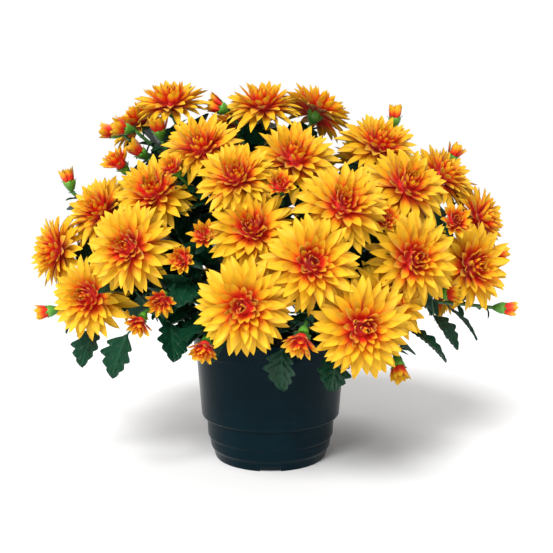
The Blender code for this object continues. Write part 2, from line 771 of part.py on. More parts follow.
def clear_branch(plant, end, facing, obstacles, rng):
    """A branch's line from its plant's main stem to end, arriving along facing, that cuts into nothing."""
    radii = [(BRANCH_RADIUS * BRANCH_ROOM + 0.6) * MM] * BRANCH_POINTS
    _, level, _, high = stem_line(plant)
    tries = []
    for number in range(BRANCH_TRIES):
        share = rng.uniform(0.15, 0.98)
        start = level.lerp(high, share)
        reach = (end - start).length
        climb = Vector((rng.uniform(-0.3, 0.3), rng.uniform(-0.3, 0.3), rng.uniform(0.35, 1.3)))
        leave = ((end - start).normalized() + climb).normalized()
        pull = rng.uniform(0.28, 0.45) * reach
        arrive = rng.uniform(0.2, 0.42) * reach
        points = bezier(start, start + leave * pull, end - facing * arrive, end, BRANCH_POINTS)
        length = sum((b - a).length for a, b in zip(points, points[1:]))
        tries.append((length, number, points))
    for _, _, points in sorted(tries):
        if not hits(tube_shell(points, radii, plant), obstacles, plant):
            return points
    return None


def plan_branches(obstacles, rng):
    """The line and end of every branch by plant, each clear of what stands before it."""
    planned = {plant: [] for plant in PLANTS}
    for plant, facing, end in stem_ends():
        line = clear_branch(plant, end.points[0], facing, obstacles, rng)
        if line is None:
            print(f"{plant}: no way to {end.points[0] / MM}")
            continue
        planned[plant].append((line, end))
        obstacles.append(tube_shell(line, [BRANCH_RADIUS * BRANCH_ROOM * MM] * len(line), plant))
    return planned


def tapering(points, low, high):
    last = len(points) - 1
    return [(low + (high - low) * i / last) * MM for i in range(len(points))]


def leafy_frame(place, along, roll):
    """A leaf's frame: its length, +Z, runs along, and its upper face, +Y, looks up but for a roll about it."""
    side = Vector((0.0, 0.0, 1.0)).cross(along)
    side = side.normalized() if side.length > 0.05 else Vector((1.0, 0.0, 0.0))
    turn = Matrix((side, along.cross(side).normalized(), along)).transposed().to_4x4()
    return Matrix.Translation(place) @ turn @ Matrix.Rotation(roll, 4, "Z")


def add_leaflet(plant, line, pieces, obstacles, rng):
    """A small leaf on a branch's upper half, turned by golden angles about it until it is clear."""
    first = len(line) - 2
    place = line[first].lerp(line[first + 1], rng.uniform(0.0, 0.7))
    ahead = (line[first + 1] - line[first]).normalized()
    way = rng.uniform(0, math.tau)
    for turn in range(8):
        side = Matrix.Rotation(way + turn * GOLDEN_ANGLE, 3, ahead) @ ahead.orthogonal().normalized()
        along = (ahead * 0.75 + side).normalized()
        mesh = leaflet_mesh("leaflet", LEAFLET_LENGTH * rng.uniform(0.8, 1.15) * MM)
        matrix = leafy_frame(place, along, rng.uniform(-0.4, 0.4))
        if not hits(mesh_obstacle(plant, mesh, matrix @ Matrix.Scale(SWELL, 4)), obstacles, plant):
            pieces.append(bpy.data.objects.new("leaflet", mesh))
            pieces[-1].matrix_world = matrix
            return
        bpy.data.meshes.remove(mesh)


def nearest_on(lines, place):
    """The point nearest to place on any of these lines."""
    best = None
    for line in lines:
        for a, b in zip(line, line[1:]):
            share = (place - a).dot(b - a) / max((b - a).length_squared, 1e-12)
            point = a.lerp(b, max(0.0, min(1.0, share)))
            if best is None or (place - point).length < (place - best).length:
                best = point
    return best


def add_leaf(plant, spec, lines, pieces, obstacles, rng):
    """A large leaf on a short stalk from the nearest branch, turned a little until it is clear."""
    x, y, z, heading, pitch, length = spec
    for number in range(LEAF_TRIES):
        spread = 0.9 * number
        nudge = Vector([rng.uniform(-spread, spread) * 0.3 for _ in range(3)])
        place = (Vector((x, y, z)) + nudge) * MM
        root = nearest_on(lines, place)
        away = (place - root).normalized()
        wanted = direction(heading + rng.uniform(-spread, spread), pitch + rng.uniform(-spread, spread))
        along = (wanted + away * 0.7).normalized()
        matrix = leafy_frame(place, along, rng.uniform(-0.35, 0.35))
        size = length * (1 - 0.006 * number)
        mesh = leaf_mesh("leaf", size * MM, rng.uniform(0.1, 0.3), matrix.inverted() @ root)
        if not hits(mesh_obstacle(plant, mesh, matrix @ Matrix.Scale(SWELL, 4)), obstacles, plant):
            pieces.append(bpy.data.objects.new("leaf", mesh))
            pieces[-1].matrix_world = matrix
            return
        bpy.data.meshes.remove(mesh)
    print(f"{plant}: no room for the leaf at {spec[:3]}")


def fuse(name, pieces, parts, finish):
    """One body from pieces that overlap, by one union."""
    group = new_collection(name + " pieces", hidden=True)
    for piece in pieces:
        group.objects.link(piece)
    base = pieces[0]
    group.objects.unlink(base)
    bpy.context.scene.collection.objects.link(base)
    union = base.modifiers.new("join", "BOOLEAN")
    union.operation = "UNION"
    union.operand_type = "COLLECTION"
    union.collection = group
    union.solver = "MANIFOLD"
    mesh = evaluated_mesh(base)
    mesh.name = name
    matrix = base.matrix_world.copy()
    for piece in pieces:
        bpy.data.objects.remove(piece)
    bpy.data.collections.remove(group)
    return add_object(name, mesh, parts, finish, matrix)


def build_plant(plant, branches, parts, obstacles, rng):
    """A leafy plant in one body: main stem, branches with the cups and buds they end in, and leaves."""
    line = stem_line(plant)
    pieces = [tube("stem", line, tapering(line, STEM_RADIUS, STEM_RADIUS * 0.72), STEM_SIDES)]
    for number, (branch, end) in enumerate(branches):
        points = branch + end.points[1:]
        radii = tapering(branch, BRANCH_RADIUS * 1.25, BRANCH_RADIUS) + end.radii[1:]
        pieces.append(tube("branch", points, radii, BRANCH_SIDES, end.hollow))
        if number % 2 == 0:
            add_leaflet(plant, branch, pieces, obstacles, rng)
    lines = [line[1:]] + [branch for branch, _ in branches]
    for spec in LEAVES:
        if plant_for(*spec[:3]) == plant:
            add_leaf(plant, spec, lines, pieces, obstacles, rng)
    fused = fuse(plant, pieces, parts, "leaf and stem")
    return mesh_obstacle(plant, fused.data, fused.matrix_world)


def build_chrysanthemum():
    clear_scene()
    parts = new_collection("pot chrysanthemum")
    rng = random.Random(7)
    pot = build_pot(parts)
    build_soil(parts)
    obstacles = core_obstacles()
    obstacles.append(mesh_obstacle("pot", pot.data, Matrix()))
    obstacles += [tube_shell(stem_line(plant), [(STEM_RADIUS + 0.5) * MM] * 4, plant) for plant in PLANTS]
    branches = plan_branches(obstacles, rng)
    for prefix, specs, kind_name in HEAD_GROUPS:
        for number, spec in enumerate(specs, 1):
            name = f"{prefix}_{number:02d}"
            obstacles.append(build_head(name, spec, kind_name, parts, obstacles, rng))
    for plant in PLANTS:
        obstacles.append(build_plant(plant, branches[plant], parts, obstacles, rng))
    for section in [o for o in bpy.data.objects if o.type == "CURVE"]:
        bpy.data.objects.remove(section)


build_chrysanthemum()
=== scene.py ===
"""Looks of the pot chrysanthemum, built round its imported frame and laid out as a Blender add-on.

Metres, +Z up, and the front looks towards -Y. Places in the tables are in mm, and repeat those of the
solids.
"""

import math
import random
from collections import namedtuple

import bmesh
import bpy
from bpy.props import FloatProperty, FloatVectorProperty, IntProperty, PointerProperty
from mathutils import Matrix, Vector, noise


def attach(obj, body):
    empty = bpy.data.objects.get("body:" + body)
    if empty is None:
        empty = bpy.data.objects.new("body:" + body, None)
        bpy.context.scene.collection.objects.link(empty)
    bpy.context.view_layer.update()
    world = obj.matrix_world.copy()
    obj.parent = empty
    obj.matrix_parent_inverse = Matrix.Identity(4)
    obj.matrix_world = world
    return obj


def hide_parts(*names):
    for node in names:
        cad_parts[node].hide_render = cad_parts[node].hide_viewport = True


bl_info = {
    "name": "Pot chrysanthemum",
    "version": (1, 0, 0),
    "blender": (4, 5, 0),
    "location": "View3D > Sidebar > Chrysanthemum",
    "description": "Makes a flowering chrysanthemum in its nursery pot round the packed frame",
    "category": "Add Mesh",
}

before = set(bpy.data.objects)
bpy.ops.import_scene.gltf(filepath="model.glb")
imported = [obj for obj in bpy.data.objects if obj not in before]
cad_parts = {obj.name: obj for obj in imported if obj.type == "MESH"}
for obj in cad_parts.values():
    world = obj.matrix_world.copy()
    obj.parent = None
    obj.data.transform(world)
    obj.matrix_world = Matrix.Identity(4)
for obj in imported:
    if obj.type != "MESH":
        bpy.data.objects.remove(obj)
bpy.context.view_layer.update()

MM = 0.001
GOLDEN_ANGLE = math.radians(137.508)

# Pot: radius and height of each turn of its outer and inner side
POT_OUTER = (
    (74.6, 125.0),
    (76.0, 124.0),
    (75.6, 107.0),
    (73.4, 105.6),
    (68.4, 43.5),
    (67.4, 42.0),
    (63.4, 40.6),
    (62.4, 22.5),
    (60.6, 21.0),
    (59.6, 11.5),
    (57.4, 8.0),
    (55.0, 0.0),
)
POT_FOOT = ((50.0, 0.0), (48.8, 3.0))
POT_INNER = ((52.8, 5.4), (61.2, 26.0), (61.8, 40.0), (66.2, 44.5), (73.2, 124.0))
POT_FLOOR_UNDERSIDE = 3.0
POT_FLOOR_TOP = 5.4
DRAIN_HOLES = 4
# Radius of a drain hole and of the ring that the holes stand on, and the height and sides of its cutter
DRAIN_HOLE = (4.0, 34.0)
HOLE_HEIGHT = 8.0
HOLE_SIDES = 32
# Notches in the foot: count, width, height, and how far out and how deep each cutter reaches
NOTCHES = 4
FOOT_NOTCH = (20.0, 2.4)
NOTCH_RING = 52.0
NOTCH_DEPTH = 16.0
# Roundings of the pot: the most of a side that one takes, how far out a point holds it, and its steps
CORNER_SHARE = 0.3
CORNER_HOLD = 1.5
CORNER_STEPS = 4

# Soil: its level at the wall, its mound over that level, the wall's turns below, the steps outwards and
# round, and how far out its lumps reach
SOIL_LEVEL = 108.0
SOIL_TOP = ((0.0, 5.0), (24.0, 3.5), (48.0, 2.5), (71.4, 0.0))
SOIL_WALL = ((65.9, 46.4), (61.3, 41.0), (60.6, 26.0), (52.2, 5.8))
SOIL_RINGS = 22
SOIL_SIDES = 72
SOIL_EDGE = 71.0
# Waves of the soil's lumps: count per metre, and height over the lumps' height
SOIL_WAVES = ((60, 0.7), (260, 0.45))
# Crumbs: how far out and how high over the level they lie, and their least and greatest radius and stretch
CRUMB_REACH = 68.0
CRUMB_HEIGHT = 3.6
CRUMB_RADIUS = (0.8, 2.4)
CRUMB_SQUASH = (0.7, 1.3)

# Plants: each one's foot in the soil, and the place where its main stem ends
PLANTS = {
    "plant_middle": ((0, 4, 93), (0, 4, 120), (0, 6, 157), (0, 8, 190)),
    "plant_front_left": ((-34, -26, 93), (-34, -26, 120), (-45, -36, 141), (-56, -46, 158)),
    "plant_front_right": ((34, -26, 93), (34, -26, 120), (43, -38, 140), (52, -50, 156)),
    "plant_back_left": ((-32, 34, 93), (-32, 34, 120), (-43, 43, 142), (-54, 52, 160)),
    "plant_back_right": ((32, 34, 93), (32, 34, 120), (43, 42, 142), (54, 50, 160)),
}

# Flower heads: x, y, z of the middle, heading and pitch of the face in degrees, and width
FULL_HEADS = (
    (-20, -156, 174, -2, 4, 82),
    (74, -152, 156, 6, 4, 84),
    (34, -146, 206, 5, 18, 84),
    (62, -112, 251, 6, 30, 82),
    (122, -104, 206, 12, 12, 84),
    (122, -58, 266, 20, 32, 84),
    (-120, -94, 215, -12, 14, 82),
    (-162, -62, 168, -18, 6, 80),
    (-104, -50, 260, -12, 36, 84),
    (-62, -42, 300, -12, 44, 80),
    (22, -60, 290, 6, 46, 86),
    (-7, 22, 343, 0, 66, 80),
    (46, 50, 340, 120, 58, 78),
    (-97, 20, 345, -14, 70, 78),
    (104, -8, 303, 22, 50, 82),
    (188, -34, 193, 22, 6, 86),
    (-14, -106, 230, -6, 26, 82),
    (-28, -88, 274, -4, 40, 76),
    (100, -104, 168, 24, 12, 80),
    (-160, -16, 242, -38, 34, 80),
    (-204, -10, 205, -52, 10, 76),
    (166, 8, 275, 48, 44, 78),
    (203, 6, 234, 58, 18, 76),
    (-132, 52, 330, -70, 46, 74),
    (-30, 84, 324, -165, 62, 80),
    (-96, 98, 286, -143, 45, 82),
    (34, 118, 286, 165, 44, 82),
    (104, 84, 286, 128, 44, 82),
    (-166, 76, 226, -118, 20, 82),
    (-100, 134, 220, -148, 16, 82),
    (-24, 154, 222, -176, 16, 84),
    (58, 150, 214, 160, 14, 82),
    (134, 116, 214, 136, 14, 82),
    (180, 72, 164, 110, 2, 80),
    (-150, 100, 156, -128, -3, 80),
    (-52, 156, 148, -166, -4, 80),
    (100, 146, 148, 150, -4, 80),
)
# Half-open heads, in the same terms
YOUNG_HEADS = (
    (-74, -104, 206, -10, 10, 30),
    (-55, -100, 226, -4, 26, 30),
    (-92, -106, 172, -6, -24, 32),
    (-112, -100, 152, -20, -34, 28),
    (-54, -126, 136, -14, -40, 32),
    (26, -156, 148, -20, -44, 34),
    (98, -104, 240, 4, 20, 30),
    (166, -62, 236, 6, 16, 34),
    (9, -106, 268, 0, 30, 32),
    (-84, -76, 283, -20, 30, 30),
    (-140, -26, 288, -50, 48, 36),
    (-52, 140, 262, -160, 34, 34),
    (22, 168, 168, 172, -14, 34),
)
# Buds: x, y, z of the green cup's mouth, heading and pitch in the same terms, and width
BUDS = (
    (-197, 8, 272, -60, 76, 20),
    (-216, -12, 146, -84, -12, 19),
    (-157, 26, 320, -84, 14, 20),
    (-143, 14, 323, -70, 10, 20),
    (-127, 6, 300, -60, 36, 20),
    (-106, -8, 321, -20, 66, 21),
    (-50, 26, 344, -84, 24, 22),
    (122, 18, 334, 0, 80, 20),
    (186, 44, 298, 64, 58, 19),
    (222, 0, 203, 82, 2, 18),
    (226, -16, 150, 84, -2, 19),
    (160, -72, 172, 60, 4, 19),
    (108, -128, 118, 16, -50, 19),
    (-188, 96, 176, -116, -4, 19),
    (84, 138, 262, 150, 50, 20),
    (60, 170, 132, 166, -20, 19),
)
# Branches of each plant, by what they carry: the first three of the four places that each runs through
BRANCHES = {
    "plant_middle": {
        "young_head_09": ((0, 7.9, 188.6), (0.6, -16.6, 216.9), (5.8, -52.5, 238.9)),
        "young_head_10": ((0, 7.9, 188.3), (-32.4, -13.9, 226.3), (-61.6, -38.1, 255.3)),
        "bloom_10": ((0, 7.9, 187.9), (-25.2, -7.3, 228.3), (-48, -18.5, 265)),
        "bloom_11": ((0, 7.9, 187.8), (8.2, -8.5, 224.7), (16, -27.6, 254)),
        "bloom_12": ((0, 7.8, 187), (-6.3, 19.6, 240.7), (-7.4, 30.9, 290)),
        "bloom_13": ((0, 7.9, 188.3), (14.6, 21.3, 244.1), (27.3, 35.6, 294)),
        "bloom_14": ((0, 7.9, 188.5), (-37.3, 17.8, 248), (-76.1, 27.4, 293.5)),
        "bloom_15": ((0, 7.8, 186.6), (33, 11.1, 229.8), (75.8, 10.4, 265.7)),
        "bloom_18": ((0, 7.9, 188.5), (-9.4, -20.5, 216.6), (-20.9, -52.1, 244.1)),
        "bloom_25": ((0, 7.9, 188.1), (-10.7, 31, 233.5), (-20.7, 55, 272.5)),
        "bud_06": ((0, 7.8, 186.8), (-41.5, 2.6, 237), (-82.8, 3, 276.2)),
        "bud_07": ((0, 7.9, 188.5), (-7.6, 14.7, 244.8), (-15.7, 24.3, 303.3)),
    },
    "plant_front_left": {
        "young_head_01": ((-55.5, -45.6, 157.2), (-60.4, -59.2, 177.4), (-67.1, -76.2, 195)),
        "young_head_02": ((-54.9, -45, 156.2), (-52.1, -57.8, 180.2), (-52.6, -71.8, 204.4)),
        "young_head_03": ((-55.4, -45.4, 156.9), (-69.1, -59.4, 168.5), (-83.4, -78, 177)),
        "young_head_04": ((-55, -45, 156.2), (-73.7, -58.3, 163.9), (-95.5, -75.1, 164.8)),
        "young_head_05": ((-55.5, -45.5, 157.1), (-55, -70.8, 157.5), (-52, -97.9, 152.6)),
        "young_head_11": ((-55.5, -45.5, 157.1), (-82.3, -32.5, 203), (-109.3, -17.7, 243.8)),
        "bloom_01": ((-55, -45.1, 156.2), (-39.4, -77.5, 167.7), (-25.3, -113.2, 171.7)),
        "bloom_07": ((-54.9, -45, 156.2), (-76.4, -55.2, 179.8), (-102.3, -65.6, 200.2)),
        "bloom_08": ((-55.2, -45.3, 156.6), (-89.5, -43.2, 168.6), (-132.9, -39.8, 167.9)),
        "bloom_09": ((-55.6, -45.6, 157.2), (-70.1, -41, 194.8), (-89.6, -32.7, 228.9)),
        "bloom_17": ((-55.2, -45.3, 156.7), (-38, -61.8, 185.5), (-20.1, -78.1, 209.8)),
        "bloom_20": ((-55.4, -45.4, 156.9), (-83.7, -27.8, 189.8), (-124.9, -7.6, 215.9)),
        "bloom_21": ((-55.4, -45.5, 157), (-101.6, -23, 184), (-155.7, -1.9, 196.8)),
        "bud_02": ((-55.4, -45.5, 157), (-106.6, -27.6, 166.2), (-160.4, -14.1, 158.9)),
        "bud_05": ((-55.4, -45.4, 156.9), (-71.9, -26.6, 207), (-93.5, 3.5, 257.7)),
    },
    "plant_front_right": {
        "young_head_06": ((51.6, -49.4, 155.1), (46.2, -82, 165.3), (37.9, -118.2, 168.8)),
        "young_head_07": ((51.5, -49.4, 155.1), (66.5, -63.5, 189), (86.5, -76.3, 219)),
        "young_head_08": ((51.1, -48.7, 154.1), (94.6, -41.4, 188), (141.3, -36.3, 216.3)),
        "bloom_02": ((51.6, -49.4, 155.1), (55.6, -79.1, 160.1), (65.3, -108.1, 156.8)),
        "bloom_03": ((51.5, -49.3, 154.9), (45.1, -77.4, 176.1), (36.3, -107.5, 191.8)),
        "bloom_04": ((51.6, -49.5, 155.2), (54.9, -66.3, 191.2), (58.1, -81.9, 223.5)),
        "bloom_05": ((51.2, -49, 154.4), (76.7, -59.7, 178.9), (104.4, -74.7, 195.3)),
        "bloom_06": ((51.6, -49.5, 155.2), (71.9, -44.4, 195.5), (99.6, -37.9, 233.6)),
        "bloom_16": ((51.6, -49.5, 155.2), (97.3, -31.5, 176.1), (150.9, -14, 186.8)),
        "bloom_19": ((51.6, -49.4, 155.1), (64.9, -61.3, 162.5), (82.4, -76.5, 163.8)),
        "bloom_23": ((50.5, -48, 153), (92.7, -26.9, 188.9), (148.7, 5.6, 214.3)),
        "bud_10": ((51.2, -48.9, 154.4), (103.4, -27.6, 182.7), (163.2, -5.7, 197.6)),
        "bud_11": ((51, -48.6, 153.9), (104.5, -33.6, 162), (166.2, -19.2, 156.2)),
        "bud_12": ((51.4, -49.1, 154.7), (86.9, -49.8, 165.4), (122.5, -55.9, 169.6)),
        "bud_13": ((51, -48.6, 153.9), (70.3, -75.8, 151.8), (93.1, -102.3, 141.3)),
    },
    "plant_back_left": {
        "young_head_12": ((-53.3, 51.5, 158.8), (-48.4, 76.3, 196.4), (-44, 101.4, 228.7)),
        "bloom_24": ((-52.9, 51.1, 158.1), (-74.7, 50.8, 218.2), (-98.1, 56.6, 277.7)),
        "bloom_26": ((-53.5, 51.6, 159.1), (-63.5, 58.5, 201.8), (-77.3, 73.9, 246)),
        "bloom_29": ((-53.1, 51.3, 158.4), (-87.3, 53.2, 186.5), (-125.9, 60.2, 208.3)),
        "bloom_30": ((-53.4, 51.5, 158.9), (-67.8, 74.2, 186.5), (-81.6, 101.3, 206)),
        "bloom_31": ((-53.1, 51.3, 158.5), (-44.9, 81.2, 182.9), (-30.2, 114.5, 205.3)),
        "bloom_35": ((-52.9, 51.1, 158), (-84.5, 65.2, 163), (-114.5, 77.4, 160.2)),
        "bloom_36": ((-53.3, 51.5, 158.8), (-50.9, 83.8, 161.7), (-46.9, 114, 154.9)),
        "bud_01": ((-53.3, 51.4, 158.6), (-104.6, 41, 203.9), (-162.6, 22.1, 231.3)),
        "bud_03": ((-53.4, 51.5, 158.9), (-76.4, 45.9, 220.3), (-109.3, 35.1, 283.3)),
        "bud_04": ((-53.5, 51.6, 159.1), (-76.2, 43.9, 224.2), (-101.2, 31.4, 288.4)),
        "bud_14": ((-53.4, 51.5, 159), (-99.4, 65.2, 174.9), (-142.6, 77.7, 178.6)),
    },
    "plant_back_right": {
        "young_head_13": ((52.6, 49, 157.4), (42, 82.8, 171.5), (26.5, 123.3, 174.8)),
        "bloom_22": ((53.1, 49.3, 158.3), (84.3, 40.5, 192.5), (122.3, 33.5, 226.7)),
        "bloom_27": ((53.5, 49.6, 159.1), (43.8, 67.9, 204.8), (33.1, 87.1, 246.1)),
        "bloom_28": ((53.5, 49.7, 159.2), (67.5, 54.7, 206.9), (79.1, 63.6, 245.5)),
        "bloom_32": ((53.4, 49.6, 159), (53, 78.5, 183.2), (49, 106, 199.5)),
        "bloom_33": ((53.1, 49.3, 158.4), (74.8, 68.1, 179.8), (101.4, 87, 198.8)),
        "bloom_34": ((52.9, 49.2, 158.1), (90.8, 54.2, 169.1), (128.9, 58.1, 166.5)),
        "bloom_37": ((53.4, 49.6, 158.9), (64.4, 76.6, 162), (77.8, 105.4, 155.1)),
        "bud_08": ((53.2, 49.4, 158.6), (80.8, 41.6, 218.7), (109, 30.4, 272.7)),
        "bud_09": ((52.9, 49.2, 158), (97.2, 47.7, 205.5), (145.5, 50.6, 247.9)),
        "bud_15": ((53.3, 49.5, 158.7), (62.2, 75.4, 191.3), (68.6, 102.8, 219.3)),
        "bud_16": ((53.3, 49.5, 158.7), (57.6, 87.1, 158.6), (56, 127.7, 147.7)),
    },
}
# Large leaves of each plant: root of the stalk, foot of the blade, way of the length, way of the upper
# face, length, and droop over the length
LEAVES = {
    "plant_middle": (
        ((27.9, 36.2, 295.7), (18, 34, 300), (-0.29, -0.59, 0.75), (0.33, 0.67, 0.66), 46, 0.18),
        ((-14.3, 22.7, 293.2), (-16, 4, 296), (-0.28, -0.85, 0.45), (0.15, 0.42, 0.9), 44, 0.17),
        ((-27.1, 74.3, 306), (-40, 70, 306), (-0.76, 0.26, 0.59), (0.63, 0.11, 0.77), 44, 0.22),
        ((28.3, 36.5, 296.7), (56, 96, 268), (0.47, 0.88, 0.04), (0.04, -0.06, 1), 44, 0.29),
    ),
    "plant_front_left": (
        ((-108.6, -90.7, 158.7), (-124, -96, 140), (-0.4, -0.34, -0.85), (-0.48, -0.71, 0.51), 50, 0.22),
        ((-102.9, -83.9, 161.3), (-88, -92, 150), (0.26, -0.6, -0.76), (0.58, -0.53, 0.62), 46, 0.21),
        ((-170.1, -13.4, 156.6), (-166, -30, 134), (-0.36, -0.51, -0.78), (-0.46, -0.63, 0.63), 50, 0.18),
        ((-103.9, -85.1, 160.9), (-118.9, -77.9, 174.8),
         (-0.84, -0.49, 0.22), (0.28, -0.05, 0.96), 42.7, 0.15),
        ((-67.7, -78.1, 196.1), (-69.6, -83.6, 185.2), (-0.27, -0.88, -0.38), (0.12, -0.43, 0.9), 41, 0.24),
    ),
    "plant_front_right": (
        ((32.9, -134.7, 162.1), (12, -116, 132), (-0.17, -0.21, -0.96), (-0.62, -0.74, 0.27), 46, 0.25),
        ((81.8, -89.2, 146.5), (58, -100, 122), (-0.15, -0.6, -0.79), (0.14, -0.8, 0.58), 40, 0.24),
        ((95.2, -105.4, 138.9), (124, -88, 142), (0.85, -0.15, -0.51), (0.49, -0.14, 0.86), 52, 0.17),
        ((146.2, -64.9, 171), (150, -58, 150), (0.64, -0.17, -0.75), (0.64, -0.42, 0.64), 48, 0.13),
        ((34.9, -128.2, 164.8), (2, -118, 164), (-0.41, -0.9, -0.15), (0.17, -0.24, 0.96), 40, 0.3),
        ((82.7, -73.8, 213.2), (84, -70, 214), (0.57, -0.65, 0.51), (-0.27, 0.44, 0.86), 42, 0.14),
    ),
    "plant_back_left": (
        ((-167.2, 87.1, 177.3), (-186, 34, 150), (-0.73, -0.32, -0.61), (-0.62, -0.09, 0.78), 50, 0.29),
        ((-117.3, 79.1, 159.8), (-98, 110, 150), (-0.11, 0.84, -0.54), (-0.14, 0.52, 0.84), 52, 0.16),
        ((-47.9, 127.5, 152.2), (-24, 128, 146), (0.48, 0.6, -0.63), (0.31, 0.56, 0.77), 50, 0.18),
        ((-47.8, 126.3, 251.5), (-69.8, 118.4, 256.5), (-0.78, 0.52, 0.35), (0.18, -0.35, 0.92), 40.8, 0.21),
    ),
    "plant_back_right": (
        ((56, 126.3, 148.1), (50, 126, 148), (-0.42, 0.66, -0.62), (-0.35, 0.52, 0.78), 50, 0.16),
        ((132.5, 59, 166.2), (122, 96, 146), (0.31, 0.75, -0.59), (0.5, 0.39, 0.77), 52, 0.26),
        ((168.6, 67.9, 163.6), (184, 26, 142), (0.71, -0.38, -0.59), (0.65, 0.03, 0.76), 50, 0.21),
    ),
}
# Small leaves of each plant: foot, way of the length, way of the upper face, and length
LEAFLETS = {
    "plant_middle": (
        ((7.7, -77.5, 252.3), (-0.27, -0.89, -0.36), (0.01, -0.38, 0.93), 20.7),
        ((-49.8, -20.6, 268.9), (-0.76, 0.32, 0.57), (0.64, 0.15, 0.75), 16.8),
        ((-7.2, 28.6, 314.1), (0.57, -0.62, 0.54), (-0.51, 0.24, 0.82), 21.2),
        ((-79.3, 26.9, 299.9), (-0.34, 0.75, 0.57), (0.2, -0.53, 0.82), 17.5),
        ((-24.7, -67.9, 257.2), (0.6, -0.78, 0.19), (0.13, 0.33, 0.94), 18.7),
        ((-85.9, 2, 281.1), (0.33, 0.1, 0.94), (-0.89, -0.31, 0.34), 16.6),
    ),
    "plant_front_left": (
        ((-69.9, -85.3, 200), (-0.07, -0.14, 0.99), (0.35, 0.92, 0.15), 17),
        ((-84.3, -80.1, 177), (-0.05, -0.64, -0.77), (-0.19, -0.75, 0.63), 16.6),
        ((-51.8, -108.2, 147.9), (-0.49, -0.29, -0.82), (-0.82, -0.17, 0.55), 15.5),
        ((-22.3, -129.5, 172.5), (-0.17, -0.68, -0.72), (-0.45, -0.59, 0.67), 21.3),
        ((-150.5, -47.3, 167.1), (-0.43, -0.59, 0.68), (0.66, 0.31, 0.69), 18.1),
        ((-15.5, -89, 219.3), (-0.42, -0.9, 0.13), (-0.11, 0.19, 0.98), 18.8),
        ((-160.7, -2, 197.6), (-0.54, 0.68, 0.5), (0.44, -0.28, 0.85), 19.6),
        ((-93.9, 3.6, 258.3), (-0.93, -0.35, 0.15), (0.18, -0.07, 0.98), 15.7),
    ),
    "plant_front_right": (
        ((32.9, -134.8, 162), (-0.93, -0.3, -0.22), (-0.18, -0.18, 0.97), 19.7),
        ((150.3, -41.5, 222.5), (0.54, 0.42, 0.73), (-0.69, -0.27, 0.67), 16.3),
        ((34.8, -119.5, 196.5), (0.65, -0.76, -0.08), (0.17, 0.04, 0.98), 18),
        ((105.3, -75.7, 195.8), (0.25, -0.84, -0.48), (0.42, -0.35, 0.84), 16),
        ((160.6, -16.6, 188.3), (0.66, -0.28, -0.7), (0.45, -0.6, 0.66), 16.6),
        ((162.4, 7.6, 219.2), (0.85, -0.11, -0.52), (0.45, -0.38, 0.81), 21.8),
        ((197, -16.5, 152.5), (0.51, 0.84, -0.16), (0.01, 0.18, 0.98), 19.8),
        ((93.6, -103.1, 140.7), (0.41, 0.12, -0.91), (0.88, 0.2, 0.42), 17.9),
    ),
    "plant_back_left": (
        ((-46.8, 119.8, 245.5), (-0.51, -0.05, 0.86), (0.86, 0.01, 0.51), 21.1),
        ((-81.5, 79.3, 255.9), (0.45, 0.06, 0.89), (-0.88, 0.23, 0.42), 17),
        ((-86.3, 110, 210.1), (0.36, 0.59, 0.72), (-0.32, -0.65, 0.69), 19.4),
        ((-131.9, 87.5, 157.8), (-0.57, 0.39, 0.72), (0.37, -0.67, 0.65), 20.9),
        ((-172, 18.3, 240.1), (-0.94, 0.34, 0.06), (0.15, 0.24, 0.96), 18.7),
        ((-118.9, 23.8, 306.6), (-0.82, 0.5, 0.29), (0.14, -0.31, 0.94), 21.7),
    ),
    "plant_back_right": (
        ((24.1, 135.7, 173.4), (0.61, 0.76, 0.23), (-0.38, 0.02, 0.93), 20.2),
        ((32.7, 93.2, 254.7), (0.75, 0.52, 0.4), (-0.4, -0.12, 0.91), 15.3),
        ((51.8, 124.5, 206), (0.25, 0.28, 0.93), (-0.85, -0.39, 0.35), 20.2),
        ((152.4, 63.9, 164.8), (0.73, -0.57, -0.37), (0.42, -0.05, 0.9), 18.2),
        ((109.5, 30, 274.7), (0.92, 0, 0.4), (-0.39, 0.13, 0.91), 18),
        ((70.6, 107.7, 225.1), (0.68, 0.73, -0.04), (0.14, -0.07, 0.99), 15.2),
    ),
}

# Rows of a flower head from its underside to its crown, over its half width: count of petals, radius and
# height of their roots, length, width over length, rise and bend in degrees, and how far the red runs up
PetalRow = namedtuple("PetalRow", "count root height length width rise bend redness")
FULL_ROWS = (
    PetalRow(17, 0.20, -0.04, 0.85, 0.26, 1, -14, 0.02),
    PetalRow(17, 0.21, 0.00, 0.81, 0.27, 11, -10, 0.06),
    PetalRow(16, 0.20, 0.05, 0.73, 0.29, 23, -4, 0.10),
    PetalRow(15, 0.19, 0.09, 0.62, 0.30, 36, 6, 0.16),
    PetalRow(13, 0.16, 0.13, 0.50, 0.31, 50, 14, 0.25),
    PetalRow(11, 0.12, 0.16, 0.41, 0.33, 61, 20, 0.30),
    PetalRow(9, 0.06, 0.19, 0.34, 0.34, 74, 16, 0.38),
)
YOUNG_ROWS = (
    PetalRow(10, 0.27, 0.00, 0.88, 0.40, 38, 6, 0.24),
    PetalRow(9, 0.23, 0.09, 0.80, 0.40, 54, 8, 0.30),
    PetalRow(7, 0.15, 0.17, 0.66, 0.40, 68, 8, 0.36),
    PetalRow(5, 0.06, 0.22, 0.54, 0.40, 80, 6, 0.42),
)
BUD_ROWS = (
    PetalRow(7, 0.50, -0.28, 1.62, 0.46, 72, 6, 0.18),
    PetalRow(6, 0.34, -0.20, 1.46, 0.46, 76, 8, 0.22),
    PetalRow(4, 0.16, -0.10, 1.26, 0.44, 82, 4, 0.26),
)
# The core that the petals stand on, as radius, lowest and highest place over the half width
FULL_CORE = (0.24, -0.09, 0.22)
YOUNG_CORE = (0.32, -0.24, 0.26)
